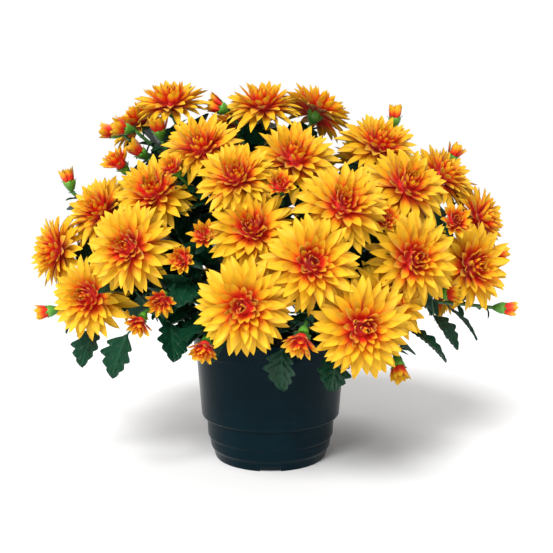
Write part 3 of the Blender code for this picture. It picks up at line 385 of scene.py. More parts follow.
# Half width in mm that a petal's thickness is set for, and how many different petals each row has
COMMON_HALF_WIDTH = 41.0
PETAL_VARIANTS = 6
# Full rows shorter than this over the half width get the plain outline
SHORT_PETAL = 0.5
# How a row's bend is put on, and how far petals differ in bend, in degrees, cup, keel and twist
BEND_GAIN = 1.6
BEND_STRAY = 14
PETAL_CUP_RANGE = (0.7, 1.5)
KEEL_RANGE = (0.05, 0.25)
TWIST_STRAY = 0.5
# How far petals stray round the head, over half the gap between two, in rise, in degrees, in roll, in
# radians, and in redness, and their least and greatest length
TURN_STRAY = 0.4
RISE_STRAY = 8
ROLL_STRAY = 0.35
RED_STRAY = 0.06
LENGTH_RANGE = (0.88, 1.05)

# How low the solid head's petals stand where nothing crowds them, in degrees, and how far they reach
FREE_ROOM = (5.0, 1.0)
# Places round a head at which its room is measured, how far to each side, and the least reach of a tip
ROOM_STEPS = 24
ROOM_VIEW = math.radians(27)
LEAST_REACH = 0.3
# Least and greatest share that crowded petals keep of their length, least and greatest rise in degrees, and
# the rise of a row that crowding no longer bends
DRAWN_IN = (0.55, 1.06)
RISE_LIMITS = (-60.0, 92.0)
UPRIGHT = 88.0

# Half a petal's width along its length, over its greatest
PETAL_OUTLINE = ((0.0, 0.36), (0.18, 0.62), (0.38, 0.92), (0.56, 1.0), (0.74, 0.80), (0.89, 0.42), (1.0, 0.0))
SHORT_PETAL_OUTLINE = ((0.0, 0.40), (0.35, 0.88), (0.62, 1.0), (0.86, 0.50), (1.0, 0.0))
LEAFLET_OUTLINE = ((0.0, 0.03), (0.2, 0.13), (0.42, 0.18), (0.66, 0.16), (0.86, 0.08), (1.0, 0.0))
# Half a large leaf's width along its length, over that length
LEAF_OUTLINE = (
    *((0.0, 0.03), (0.05, 0.07), (0.10, 0.19), (0.15, 0.27), (0.20, 0.33), (0.26, 0.31), (0.31, 0.235)),
    *((0.37, 0.30), (0.43, 0.37), (0.49, 0.39), (0.54, 0.345), (0.59, 0.25), (0.65, 0.275), (0.71, 0.29)),
    *((0.77, 0.24), (0.82, 0.165), (0.87, 0.165), (0.92, 0.13), (0.97, 0.06), (1.0, 0.0)),
)
# Veins on each side of a large leaf, how far they sweep forward from the rib to the edge, and how much
# broader a leaf is than its outline
VEINS = 4.6
VEIN_SWEEP = 0.36
LEAF_FULLNESS = 1.25
# Droops that large leaves are made in, the length in mm that their thickness is set for, and how long the
# blade is over the length in the table
LEAF_DROOPS = (0.1, 0.18, 0.26)
COMMON_LEAF = 46.0
LEAF_SHARE = 0.8
# Added leaves: least and greatest length, in mm, or over the head's half width for the collar's large ones,
# least and greatest place along the branch, and how far they lean along it
AddedLeaf = namedtuple("AddedLeaf", "lengths places follow")
INNER_LEAF = AddedLeaf((30, 42), (0.25, 0.84), 0.9)
INNER_LEAFLET = AddedLeaf((13, 20), (0.4, 0.97), 0.6)
COLLAR_LEAF = AddedLeaf((0.62, 0.82), (0.1, 0.9), -0.5)
COLLAR_LEAFLET = AddedLeaf((11, 16), (0.1, 0.9), 0.35)
# Skirts of leaves over the rim: to each side in degrees, least and greatest radius, height and length in mm
Skirt = namedtuple("Skirt", "spread radii heights lengths")
MIDDLE_SKIRT = Skirt(180, (20, 52), (128, 150), (34, 44))
SIDE_SKIRT = Skirt(52, (50, 66), (131, 152), (34, 44))
SKIRT_ARCH = 8.0
SKIRT_SIDES = 5
# How far a blade's edges lie ahead of its middle, how its bend gathers towards its tip, and the steps along
# its middle line and that line's end
EDGE_LEAD = 0.3
BEND_GATHER = 1.4
SPINE_STEPS = 24
SPINE_REACH = 1.5
# How far to the side the UV map of a blade's underside lies
UNDERSIDE_SHIFT = 2.0

# Green cups by what they hold: length in mm, radius and height of the mouth over the head's half width, how
# far the cup is swollen at each of CUP_PLACES, and the count and length of its sepals. At the first
# CUP_GROWS places it swells from the branch's own radius
CUP_PLACES = (0.2, 0.4, 0.62, 0.84, 1.0)
CUP_GROWS = 3
OPEN_SWELL = (0.5, 0.82, 0.98, 1.04, 1.0)
BUD_SWELL = (0.34, 0.58, 0.84, 1.0, 0.96)
Cup = namedtuple("Cup", "length radius foot swell sepals sepal_length")
CUPS = {
    "full": Cup(9.0, 0.18, -0.07, OPEN_SWELL, 10, 0.16),
    "young": Cup(8.0, 0.26, -0.26, OPEN_SWELL, 10, 0.30),
    "bud": Cup(11.0, 0.62, 0.0, BUD_SWELL, 6, 0.42),
}
# Radii of branches, main stems and the stalks of leaves, the sides of those stalks and the least length of
# one, all in mm, and the steps between two places of a line
BRANCH_RADIUS = 1.7
STEM_RADIUS = 4.2
LEAF_STALK_RADIUS = 0.9
LEAF_STALK_SIDES = 6
SHORTEST_STALK = 2.0
LINE_STEPS = 4

# Soft lamps: place, aim, width and height in metres, and share of the light power
LAMPS = {
    "soft lamp": ((-0.75, -1.2, 0.75), (0.0, 0.0, 0.2), 0.45, 0.45, 0.7),
    "strip lamp": ((0.03, -1.5, 0.3), (0.0, 0.0, 0.1), 0.05, 0.9, 0.3),
    "back lamp": ((0.3, 0.8, 1.6), (0.0, 0.0, 0.2), 0.8, 0.8, 0.8),
}
DAYLIGHT_FROM = (-0.32, -0.95, 1.05)
DAYLIGHT_SPREAD = math.radians(24)
SENSOR_WIDTH = 36.0


def colour(name, description, value):
    """A colour that a user can change."""
    return FloatVectorProperty(
        name=name, description=description, default=value, size=3, min=0.0, max=1.0, subtype="COLOR"
    )


def length(name, description, value, least=0.0):
    """A length that a user can change."""
    return FloatProperty(name=name, description=description, default=value, min=least, unit="LENGTH")


def share(name, description, value):
    """A share from 0 to 1 that a user can change."""
    return FloatProperty(name=name, description=description, default=value, min=0.0, max=1.0)


def amount(name, description, value, least=0.0):
    """A plain number that a user can change."""
    return FloatProperty(name=name, description=description, default=value, min=least)


def count(name, description, value, least=0):
    """A whole number that a user can change."""
    return IntProperty(name=name, description=description, default=value, min=least)


class FlowerSizes(bpy.types.PropertyGroup):
    petal_thickness: length("Petal thickness", "Thickness in the middle of a petal", 0.0005)
    petal_cup: share("Petal cup", "How far a petal's edges stand up, over its width", 0.16)
    petal_unevenness: share("Petal unevenness", "How far petals stray from their row", 0.85)
    core_sides: count("Core sides", "Sides of a head's core", 14, 6)


class FoliageSizes(bpy.types.PropertyGroup):
    leaf_thickness: length("Leaf thickness", "Thickness of a leaf", 0.0006)
    leaf_pucker: share("Leaf pucker", "Depth of the folds between veins, over the length", 0.032)
    stalk_sides: count("Stalk sides", "Sides of stems and branches", 8, 4)
    inner_leaves: count("Inner leaves", "Leaves inside the bush on each branch", 5)
    inner_leaflets: count("Inner small leaves", "Small leaves on each branch", 8)
    collar_leaves: count("Collar leaves", "Leaves close under each flower head", 4)
    skirt_leaves: count("Skirt leaves", "Leaves over the pot's rim on each plant", 7)


class PotSizes(bpy.types.PropertyGroup):
    wall_sides: count("Wall sides", "Steps round the pot's wall", 128, 24)
    edge_radius: length("Edge radius", "Rounding of the pot's steps and lip", 0.0008)
    soil_lumps: length("Soil lumps", "Height of the soil's lumps", 0.002)
    crumbs: count("Crumbs", "Loose crumbs on the soil", 160)


class Finishes(bpy.types.PropertyGroup):
    petal_base: colour("Petal base", "Red at the foot of a petal", (0.66, 0.018, 0.005))
    petal_flame: colour("Petal flame", "Orange between foot and tip", (0.78, 0.14, 0.005))
    petal_gold: colour("Petal gold", "Golden yellow of the broad part", (0.75, 0.34, 0.005))
    petal_tip: colour("Petal tip", "Yellow of the tip", (0.74, 0.43, 0.010))
    leaf_green: colour("Leaf green", "Dark green of the leaves", (0.003, 0.030, 0.013))
    vein_green: colour("Vein green", "Paler green of the veins", (0.016, 0.085, 0.036))
    fresh_green: colour("Fresh green", "Bright green of cups and young stalks", (0.11, 0.36, 0.025))
    pot_plastic: colour("Pot plastic", "Blue black of the pot", (0.0006, 0.008, 0.0125))
    soil_brown: colour("Soil brown", "Dark brown of the soil", (0.035, 0.02, 0.012))


class StudioSizes(bpy.types.PropertyGroup):
    camera_place: FloatVectorProperty(
        name="Camera place",
        description="Where the camera stands",
        default=(0.006, -0.80, 0.277),
        size=3,
        subtype="TRANSLATION",
    )
    camera_pitch: FloatProperty(
        name="Camera pitch", description="How far it looks down", default=math.radians(7.0), subtype="ANGLE"
    )
    focal_length: amount("Focal length", "In mm, on a 36 mm sensor", 53.38, 10.0)
    floor_reach: length("Floor reach", "Half the floor's width", 6.0)
    daylight: amount("Daylight", "Strength of the main light", 3.0)
    surroundings: amount("Surroundings", "Brightness of the white surroundings as a light", 0.42)
    light_power: amount("Light power", "Power of the soft lamps in watts, before each one's share", 9.0)


# Places and frames


def direction(heading, pitch):
    """The way that a head faces: heading 0 is the front, 90 is +X."""
    heading, pitch = math.radians(heading), math.radians(pitch)
    return Vector(
        (math.sin(heading) * math.cos(pitch), -math.cos(heading) * math.cos(pitch), math.sin(pitch))
    )


def placed(place, facing):
    """The frame of a head at place, with +Z the way it faces."""
    return Matrix.Translation(place) @ facing.to_track_quat("Z", "Y").to_matrix().to_4x4()


def blade_frame(foot, along, up):
    """The frame of a blade: +X runs along it and +Z is its upper face."""
    along = Vector(along).normalized()
    side = Vector(up).cross(along).normalized()
    turn = Matrix((along, side, along.cross(side))).transposed().to_4x4()
    return Matrix.Translation(foot) @ turn


def smooth_line(points, steps):
    """A rounded line through points, with this many steps between each two."""
    ends = [points[0] * 2 - points[1], *points, points[-1] * 2 - points[-2]]
    line = []
    for before, a, b, after in zip(ends, ends[1:], ends[2:], ends[3:]):
        for step in range(steps):
            t = step / steps
            line.append(
                0.5
                * (
                    a * 2
                    + (b - before) * t
                    + (before * 2 - a * 5 + b * 4 - after) * t**2
                    + (a * 3 - before - b * 3 + after) * t**3
                )
            )
    return [*line, points[-1]]


# Building with bmesh


def new_object(name, data):
    """A new object in the scene."""
    made = bpy.data.objects.new(name, data)
    bpy.context.scene.collection.objects.link(made)
    return made


def mesh_from(bm, name):
    """The mesh of a bmesh that is done."""
    mesh = bpy.data.meshes.new(name)
    bm.to_mesh(mesh)
    bm.free()
    return mesh


def start_bmesh():
    """A bmesh with the attributes that the finishes read."""
    bm = bmesh.new()
    bm.verts.layers.float.new("tone")
    bm.verts.layers.float.new("redness")
    bm.loops.layers.uv.new("blade")
    return bm


def grow(bm, template, matrix, tone=0.0, redness=0.0):
    """Adds a copy of a template to bm, placed by matrix, with its own tone and redness."""
    copy = template.copy()
    copy.transform(matrix)
    for name, value in (("tone", tone), ("redness", redness)):
        layer = copy.attributes[name].data
        layer.foreach_set("value", [value] * len(layer))
    bm.from_mesh(copy)
    bpy.data.meshes.remove(copy)


def mark(bm, verts, tone, redness):
    """Gives vertices of bm one tone and redness."""
    tones, rednesses = bm.verts.layers.float["tone"], bm.verts.layers.float["redness"]
    for vertex in verts:
        vertex[tones] = tone
        vertex[rednesses] = redness


def add_piece(name, bm, finish, node):
    """The finished piece: it rides on the part, has a finish and a slot, and stands for a node."""
    piece = new_object(name, mesh_from(bm, name))
    piece.data.materials.append(finish)
    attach(piece, "root")
    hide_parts(node)
    return piece


def blade_mesh(name, outline, columns, width, spine, relief, thickness):
    """A closed blade of length 1 from its foot along +X, with +Z its upper side, thin at its rim.

    spine gives the middle line's place at a reach, and relief the height over it at a reach, a side and the
    blade's half width there.
    """
    bm = start_bmesh()
    uv = bm.loops.layers.uv["blade"]
    rows = len(outline) - 1
    bmesh.ops.create_grid(bm, x_segments=rows, y_segments=columns, size=1.0)
    bm.verts.index_update()
    spots = {}
    for vertex in bm.verts:
        row = round((vertex.co.x + 1) / 2 * rows)
        side = round((vertex.co.y + 1) / 2 * columns) * 2 / columns - 1
        reach, half = outline[row][0], outline[row][1] * width
        x, z = spine(reach + EDGE_LEAD * abs(side) * half * (1 - reach))
        spots[vertex.index] = (reach, side)
        vertex.co = (x, side * half, z + relief(reach, side, half))
    for face in bm.faces:
        face.smooth = True
        for loop in face.loops:
            reach, side = spots[loop.vert.index]
            loop[uv].uv = (side * 0.5 + 0.5, reach)
    made = bmesh.ops.duplicate(bm, geom=bm.faces[:])
    under = {part for part in made["geom"] if isinstance(part, bmesh.types.BMFace)}
    bmesh.ops.reverse_faces(bm, faces=list(under))
    for vertex in {v for face in under for v in face.verts}:
        if not vertex.is_boundary:
            vertex.co.z -= thickness
    for face in under:
        for loop in face.loops:
            loop[uv].uv = (loop[uv].uv.x + UNDERSIDE_SHIFT, loop[uv].uv.y)
    bmesh.ops.remove_doubles(bm, verts=bm.verts[:], dist=1e-6)
    for edge in bm.edges:
        if len({face in under for face in edge.link_faces}) == 2:
            edge.smooth = False
    return mesh_from(bm, name)


def bent_spine(bend):
    """The middle line of a blade that turns by bend, in radians, from its foot to its tip."""
    places = [(0.0, 0.0)]
    for step in range(2 * SPINE_STEPS):
        turn = bend * ((step + 0.5) / SPINE_STEPS) ** BEND_GATHER
        x, z = places[-1]
        places.append((x + math.cos(turn) / SPINE_STEPS, z + math.sin(turn) / SPINE_STEPS))

    def spine(reach):
        spot = max(0.0, min(reach, SPINE_REACH)) * SPINE_STEPS
        low = int(spot)
        (x, z), (x1, z1) = places[low], places[low + 1]
        return x + (x1 - x) * (spot - low), z + (z1 - z) * (spot - low)

    return spine


def add_stalk(bm, points, radii, sides, redness):
    """A closed stalk through points, extruded ring by ring, with redness from one end to the other."""
    ahead = (points[1] - points[0]).normalized()
    turn = ahead.to_track_quat("Z", "Y")
    before = Matrix.Translation(points[0]) @ turn.to_matrix().to_4x4() @ Matrix.Scale(radii[0], 4)
    made = bmesh.ops.create_circle(bm, cap_ends=True, segments=sides, radius=1.0, matrix=before)
    cap = made["verts"][0].link_faces[0]
    layer = bm.verts.layers.float["redness"]
    skin = set(made["verts"])
    for vertex in skin:
        vertex[layer] = redness[0]
    last = len(points) - 1
    for i in range(1, last + 1):
        new_ahead = (points[min(i + 1, last)] - points[i - 1]).normalized()
        turn = ahead.rotation_difference(new_ahead) @ turn
        ahead = new_ahead
        after = Matrix.Translation(points[i]) @ turn.to_matrix().to_4x4() @ Matrix.Scale(radii[i], 4)
        made = bmesh.ops.extrude_face_region(bm, geom=[cap])["geom"]
        cap = next(part for part in made if isinstance(part, bmesh.types.BMFace))
        ring = [part for part in made if isinstance(part, bmesh.types.BMVert)]
        bmesh.ops.transform(bm, matrix=after @ before.inverted(), verts=ring)
        for vertex in ring:
            vertex[layer] = redness[0] + (redness[1] - redness[0]) * (i / last) ** 3
        skin.update(ring)
        before = after
    faces = {face for vertex in skin for face in vertex.link_faces}
    for face in faces:
        face.smooth = len(face.verts) == 4
    bmesh.ops.recalc_face_normals(bm, faces=list(faces))


def add_core(bm, matrix, half_width, core, sides):
    """The core that a head's petals stand on."""
    radius, low, high = (value * half_width for value in core)
    swell = Matrix.Diagonal((radius, radius, (high - low) / 2, 1.0))
    middle = Matrix.Translation((0.0, 0.0, (high + low) / 2))
    made = bmesh.ops.create_uvsphere(
        bm, u_segments=sides, v_segments=8, radius=1.0, matrix=matrix @ middle @ swell
    )
    for vertex in made["verts"]:
        for face in vertex.link_faces:
            face.smooth = True
    mark(bm, made["verts"], 0.5, 1.0)


# Finishes


def add_node(tree, kind, inputs=None, **settings):
    """Adds a node, with its inputs set to values or linked to sockets."""
    made = tree.nodes.new(kind)
    for name, value in settings.items():
        setattr(made, name, value)
    for key, value in (inputs or {}).items():
        if isinstance(value, bpy.types.NodeSocket):
            tree.links.new(value, made.inputs[key])
        else:
            made.inputs[key].default_value = value
    return made


def calculate(tree, operation, *values):
    """The result of a Math node on values or sockets."""
    return add_node(tree, "ShaderNodeMath", dict(enumerate(values)), operation=operation).outputs[0]


def scaled(tree, value, factor, offset=0.0):
    """value times factor, plus offset."""
    return calculate(tree, "MULTIPLY_ADD", value, factor, offset)


def blend_colours(tree, share_of_second, first, second):
    """The colour between two, as a socket. The Mix node has its colours at 6 and 7, and their mix at 2."""
    ends = [end if isinstance(end, bpy.types.NodeSocket) else (*end, 1.0) for end in (first, second)]
    inputs = {0: share_of_second, 6: ends[0], 7: ends[1]}
    return add_node(tree, "ShaderNodeMix", inputs, data_type="RGBA").outputs[2]


def new_finish(name, **plain):
    """A material with one Principled BSDF, and plain values on its sockets."""
    material = bpy.data.materials.new(name)
    material.use_nodes = True
    shader = material.node_tree.nodes["Principled BSDF"]
    for socket, value in plain.items():
        shader.inputs[socket.replace("_", " ")].default_value = value
    return material, material.node_tree, shader


def connect(tree, shader, **sockets):
    """Links sockets to the shader's inputs of these names."""
    for name, socket in sockets.items():
        tree.links.new(socket, shader.inputs[name.replace("_", " ")])


def noise_mask(tree, place, scale, detail, roughness=0.5):
    """A cloudy mask from 0 to 1."""
    inputs = {"Vector": place, "Scale": scale, "Detail": detail, "Roughness": roughness}
    return add_node(tree, "ShaderNodeTexNoise", inputs).outputs["Fac"]


def object_place(tree):
    """The place on the object, in metres."""
    return add_node(tree, "ShaderNodeTexCoord").outputs["Object"]


def streaks_group():
    """Fine streaks that run along a petal or leaf: a mask from 0 to 1."""
    found = bpy.data.node_groups.get("fine streaks")
    if found:
        return found
    group = bpy.data.node_groups.new("fine streaks", "ShaderNodeTree")
    for name, value in (("Across", 0.0), ("Along", 0.0), ("Shift", 0.0), ("Fineness", 12.0)):
        socket = group.interface.new_socket(name, in_out="INPUT", socket_type="NodeSocketFloat")
        socket.default_value = value
    group.interface.new_socket("Streaks", in_out="OUTPUT", socket_type="NodeSocketFloat")
    start = group.nodes.new("NodeGroupInput")
    across = calculate(group, "MULTIPLY", start.outputs["Across"], start.outputs["Fineness"])
    along = scaled(group, start.outputs["Along"], 2.6)
    shift = scaled(group, start.outputs["Shift"], 37.0)
    place = add_node(group, "ShaderNodeCombineXYZ", {"X": across, "Y": along, "Z": shift}).outputs[0]
    end = group.nodes.new("NodeGroupOutput")
    group.links.new(noise_mask(group, place, 1.0, 3.0, 0.6), end.inputs["Streaks"])
    return group


def streaks(tree, across, along, shift, fineness):
    """The fine streaks at this fineness, shifted from blade to blade."""
    inputs = {"Across": across, "Along": along, "Shift": shift, "Fineness": fineness}
    return add_node(tree, "ShaderNodeGroup", inputs, node_tree=streaks_group()).outputs["Streaks"]


def blade_coordinates(tree):
    """Sockets across and along a blade, its distance from the middle, and 1 on its underside."""
    place = add_node(tree, "ShaderNodeUVMap", uv_map="blade").outputs[0]
    split = add_node(tree, "ShaderNodeSeparateXYZ", {0: place})
    under = calculate(tree, "GREATER_THAN", split.outputs["X"], (1 + UNDERSIDE_SHIFT) / 2)
    across = scaled(tree, under, -UNDERSIDE_SHIFT, split.outputs["X"])
    side = calculate(tree, "ABSOLUTE", scaled(tree, across, 2.0, -1.0))
    return across, split.outputs["Y"], side, under


def attribute(tree, name):
    """A number that the mesh holds at each vertex."""
    return add_node(tree, "ShaderNodeAttribute", attribute_name=name).outputs["Fac"]


def colour_ramp(tree, place, stops):
    """A colour by place along a row of stops."""
    ramp = add_node(tree, "ShaderNodeValToRGB", {"Fac": place})
    band = ramp.color_ramp
    band.elements[0].position, band.elements[0].color = stops[0][0], (*stops[0][1], 1.0)
    band.elements[1].position, band.elements[1].color = stops[-1][0], (*stops[-1][1], 1.0)
    for position, value in stops[1:-1]:
        band.elements.new(position).color = (*value, 1.0)
    return ramp.outputs["Color"]


def bump(tree, height, strength, distance):
    """The normal of a surface with this height."""
    inputs = {"Height": height, "Strength": strength, "Distance": distance}
    return add_node(tree, "ShaderNodeBump", inputs).outputs["Normal"]


def petal_finish(colours):
    """Silky petals: red at the foot, through orange to golden yellow, with fine streaks along them, and
    painted shade towards orange and red along their edges.
    """
    material, tree, shader = new_finish(
        "petal silk", Sheen_Weight=0.1, Sheen_Roughness=0.4, Specular_IOR_Level=0.3
    )
    across, along, side, under = blade_coordinates(tree)
    tone, redness = attribute(tree, "tone"), attribute(tree, "redness")
    grain = streaks(tree, across, along, tone, 14.0)
    red_reach = scaled(tree, under, 0.18, redness)
    ragged = scaled(tree, grain, 0.34, -0.17)
    # Painted shade: the ramp slides back towards orange and red at each petal's edges, where the petals
    # beside it would shade it
    painted_edge_shade = scaled(tree, calculate(tree, "POWER", side, 4.0), -0.10)
    own_shift = scaled(tree, tone, 0.16, -0.08)
    place = calculate(tree, "SUBTRACT", along, red_reach)
    for shift in (ragged, painted_edge_shade, own_shift):
        place = calculate(tree, "ADD", place, shift)
    base, flame, gold = (Vector(c) for c in (colours.petal_base, colours.petal_flame, colours.petal_gold))
    stops = (
        (0.0, base),
        (0.10, base.lerp(flame, 0.45)),
        (0.19, flame),
        (0.28, flame.lerp(gold, 0.7)),
        (0.36, gold),
        (0.52, colours.petal_tip),
    )
    shade = scaled(tree, tone, 0.08, scaled(tree, grain, 0.36, 0.80))
    inputs = {0: colour_ramp(tree, place, stops), "Scale": shade}
    shown = add_node(tree, "ShaderNodeVectorMath", inputs, operation="SCALE").outputs[0]
    rough, relief = scaled(tree, grain, 0.2, 0.45), bump(tree, grain, 0.35, 0.0006)
    connect(tree, shader, Base_Color=shown, Roughness=rough, Normal=relief)
    return material


def leaf_finish(colours):
    """Glossy dark leaves, puckered between paler veins, and duller below."""
    material, tree, shader = new_finish("leaves", Specular_IOR_Level=0.2)
    across, along, side, under = blade_coordinates(tree)
    swept = scaled(tree, side, -VEIN_SWEEP, along)
    wave = calculate(tree, "ABSOLUTE", calculate(tree, "SINE", scaled(tree, swept, math.pi * VEINS)))
    lateral = calculate(tree, "POWER", scaled(tree, wave, -1.0, 1.0), 6.0)
    rib = calculate(tree, "POWER", scaled(tree, side, -1.0, 1.0), 14.0)
    veins = calculate(tree, "MAXIMUM", lateral, rib)
    grain = streaks(tree, across, along, attribute(tree, "tone"), 9.0)
    green, paler = Vector(colours.leaf_green), Vector(colours.vein_green)
    blade = blend_colours(tree, grain, green * 0.65, green * 1.7)
    top = blend_colours(tree, scaled(tree, veins, 0.55), blade, paler)
    shown = blend_colours(tree, scaled(tree, under, 0.35), top, paler * 0.8)
    rough = scaled(tree, under, 0.25, scaled(tree, grain, 0.16, 0.2))
    height = calculate(tree, "SUBTRACT", scaled(tree, grain, 0.5), veins)
    connect(tree, shader, Base_Color=shown, Roughness=rough, Normal=bump(tree, height, 0.5, 0.0008))
    return material


def stalk_finish(colours):
    """Green stalks that brighten towards the cups: redness is how fresh they are."""
    material, tree, shader = new_finish("stalks")
    grain = noise_mask(tree, object_place(tree), 700.0, 3.0, 0.6)
    bright = Vector(colours.fresh_green)
    old = blend_colours(tree, grain, Vector(colours.leaf_green) * 0.8, Vector(colours.vein_green) * 0.9)
    fresh = blend_colours(tree, grain, bright * 0.7, bright * 1.4)
    shown = blend_colours(tree, attribute(tree, "redness"), old, fresh)
    rough, relief = scaled(tree, grain, 0.3, 0.3), bump(tree, grain, 0.3, 0.0004)
    connect(tree, shader, Base_Color=shown, Roughness=rough, Normal=relief)
    return material


def pot_finish(colours):
    """Blue-black moulded plastic with faint turning rings, a little dust and soft gloss."""
    material, tree, shader = new_finish("pot plastic", Specular_IOR_Level=0.06)
    place = object_place(tree)
    cloud, fine = noise_mask(tree, place, 38.0, 4.0, 0.6), noise_mask(tree, place, 900.0, 2.0)
    level = add_node(tree, "ShaderNodeSeparateXYZ", {0: place}).outputs["Z"]
    rings = calculate(tree, "SINE", scaled(tree, level, 1900.0))
    plastic = Vector(colours.pot_plastic)
    shown = blend_colours(tree, cloud, plastic * 0.7, plastic * 1.6)
    rough = scaled(tree, fine, 0.06, scaled(tree, cloud, 0.12, 0.16))
    relief = bump(tree, scaled(tree, rings, 0.25, fine), 0.12, 0.0003)
    connect(tree, shader, Base_Color=shown, Roughness=rough, Normal=relief)
    return material


def soil_finish(colours):
    """Damp dark soil, in lumps and grains."""
    material, tree, shader = new_finish("soil", Specular_IOR_Level=0.25)
    place, brown = object_place(tree), Vector(colours.soil_brown)
    lumps = noise_mask(tree, place, 160.0, 6.0, 0.7)
    grains = add_node(tree, "ShaderNodeTexVoronoi", {"Vector": place, "Scale": 420.0}).outputs["Distance"]
    shown = blend_colours(tree, lumps, brown * 0.4, brown * 2.2)
    relief = bump(tree, calculate(tree, "SUBTRACT", lumps, grains), 0.8, 0.002)
    connect(tree, shader, Base_Color=shown, Roughness=scaled(tree, lumps, 0.3, 0.68), Normal=relief)
    return material


# Pot and soil


def rounded(profile, radius):
    """A profile with its corners rounded, and with a point held close to each rounding."""
    done = [Vector(profile[0])]
    for before, corner, after in zip(profile, profile[1:], profile[2:]):
        before, corner, after = Vector(before), Vector(corner), Vector(after)
        back, on = before - corner, after - corner
        cut = min(radius, back.length * CORNER_SHARE, on.length * CORNER_SHARE)
        start, end = corner + back.normalized() * cut, corner + on.normalized() * cut
        done.append(corner + back.normalized() * cut * CORNER_HOLD)
        for step in range(CORNER_STEPS + 1):
            t = step / CORNER_STEPS
            done.append(start * (1 - t) ** 2 + corner * 2 * t * (1 - t) + end * t**2)
        done.append(corner + on.normalized() * cut * CORNER_HOLD)
    return [*done, Vector(profile[-1])]


def turned(profile, sides):
    """A closed bmesh turned about Z from a profile of radius and height that starts and ends on the axis."""
    bm = start_bmesh()
    verts = [bm.verts.new((point.x, 0.0, point.y)) for point in profile]
    edges = [bm.edges.new(pair) for pair in zip(verts, verts[1:])]
    bmesh.ops.spin(
        bm, geom=verts + edges, cent=(0, 0, 0), axis=(0, 0, 1), angle=math.tau, steps=sides, use_merge=True
    )
    bmesh.ops.remove_doubles(bm, verts=bm.verts[:], dist=1e-6)
    bmesh.ops.recalc_face_normals(bm, faces=bm.faces[:])
    for face in bm.faces:
        face.smooth = True
    return bm


def drain_cutter():
    """The shapes of the drain holes and of the notches in the foot, in one object."""
    bm = bmesh.new()
    radius, ring = DRAIN_HOLE
    middle = (POT_FLOOR_UNDERSIDE + POT_FLOOR_TOP) / 2
    for number in range(DRAIN_HOLES):
        turn = Matrix.Rotation(math.tau * (number + 0.5) / DRAIN_HOLES, 4, "Z")
        spot = turn @ Matrix.Translation((ring * MM, 0.0, middle * MM))
        hole = {"radius1": radius * MM, "radius2": radius * MM, "depth": HOLE_HEIGHT * MM}
        bmesh.ops.create_cone(bm, cap_ends=True, segments=HOLE_SIDES, matrix=spot, **hole)
    width, height = FOOT_NOTCH
    for number in range(NOTCHES):
        turn = Matrix.Rotation(math.tau / NOTCHES * number, 4, "Z")
        size = Matrix.Diagonal((NOTCH_DEPTH * MM, width * MM, height * 2 * MM, 1.0))
        spot = turn @ Matrix.Translation((NOTCH_RING * MM, 0.0, 0.0)) @ size
        bmesh.ops.create_cube(bm, size=1.0, matrix=spot)
    return new_object("drain cutter", mesh_from(bm, "drain cutter"))


def cut_away(piece, tool):
    """Cuts tool's shape out of piece, and removes tool."""
    modifier = piece.modifiers.new("cut", "BOOLEAN")
    modifier.operation, modifier.solver, modifier.object = "DIFFERENCE", "EXACT", tool
    bpy.context.view_layer.update()
    mesh = bpy.data.meshes.new_from_object(piece.evaluated_get(bpy.context.evaluated_depsgraph_get()))
    old = piece.data
    piece.modifiers.clear()
    piece.data = mesh
    bpy.data.meshes.remove(old)
    mesh.name = piece.name
    bpy.data.objects.remove(tool)


class CHRYSANTHEMUM_OT_pot(bpy.types.Operator):
    """Make the stepped nursery pot"""

    bl_idname = "chrysanthemum.pot"
    bl_label = "Pot"

    def execute(self, context):
        sizes, colours = context.scene.chrysanthemum_pot, context.scene.chrysanthemum_finishes
        underside, top = (0.0, POT_FLOOR_UNDERSIDE), (0.0, POT_FLOOR_TOP)
        profile = [underside, *reversed(POT_FOOT), *reversed(POT_OUTER), *reversed(POT_INNER), top]
        bm = turned([p * MM for p in rounded(profile, sizes.edge_radius / MM)], sizes.wall_sides)
        piece = add_piece("nursery_pot", bm, pot_finish(colours), "pot")
        cut_away(piece, drain_cutter())
        return {"FINISHED"}


class CHRYSANTHEMUM_OT_soil(bpy.types.Operator):
    """Make the mound of soil in the pot"""

    bl_idname = "chrysanthemum.soil"
    bl_label = "Soil"

    def execute(self, context):
        sizes, colours = context.scene.chrysanthemum_pot, context.scene.chrysanthemum_finishes
        rng = random.Random("soil")
        profile = []
        for step in range(SOIL_RINGS + 1):
            radius = SOIL_TOP[-1][0] * step / SOIL_RINGS
            for (r0, h0), (r1, h1) in zip(SOIL_TOP, SOIL_TOP[1:]):
                if r0 <= radius <= r1:
                    profile.append((radius, SOIL_LEVEL + h0 + (h1 - h0) * (radius - r0) / (r1 - r0)))
                    break
        profile += [*SOIL_WALL, (0.0, SOIL_WALL[-1][1])]
        bm = turned([Vector(p) * MM for p in profile], SOIL_SIDES)
        for vertex in bm.verts:
            if vertex.co.z > (SOIL_LEVEL - 1) * MM and math.hypot(*vertex.co.xy) < SOIL_EDGE * MM:
                lift = sum(noise.noise(vertex.co * waves) * height for waves, height in SOIL_WAVES)
                vertex.co.z += lift * sizes.soil_lumps
        for _ in range(sizes.crumbs):
            radius, azimuth = CRUMB_REACH * math.sqrt(rng.random()), rng.uniform(0, math.tau)
            place = (radius * math.cos(azimuth), radius * math.sin(azimuth), SOIL_LEVEL + CRUMB_HEIGHT)
            size = rng.uniform(*CRUMB_RADIUS) * MM
            stretch = (rng.uniform(*CRUMB_SQUASH), rng.uniform(*CRUMB_SQUASH), CRUMB_SQUASH[0])
            squash = Matrix.Diagonal((*stretch, 1.0))
            turn = Matrix.Rotation(rng.uniform(0, math.tau), 4, (rng.random(), rng.random(), 1.0))
            spot = Matrix.Translation(Vector(place) * MM) @ turn @ squash
            made = bmesh.ops.create_icosphere(bm, subdivisions=1, radius=size, matrix=spot)
            for face in {f for v in made["verts"] for f in v.link_faces}:
                face.smooth = True
        add_piece("potting_soil", bm, soil_finish(colours), "soil")
        return {"FINISHED"}


# Leafy plants


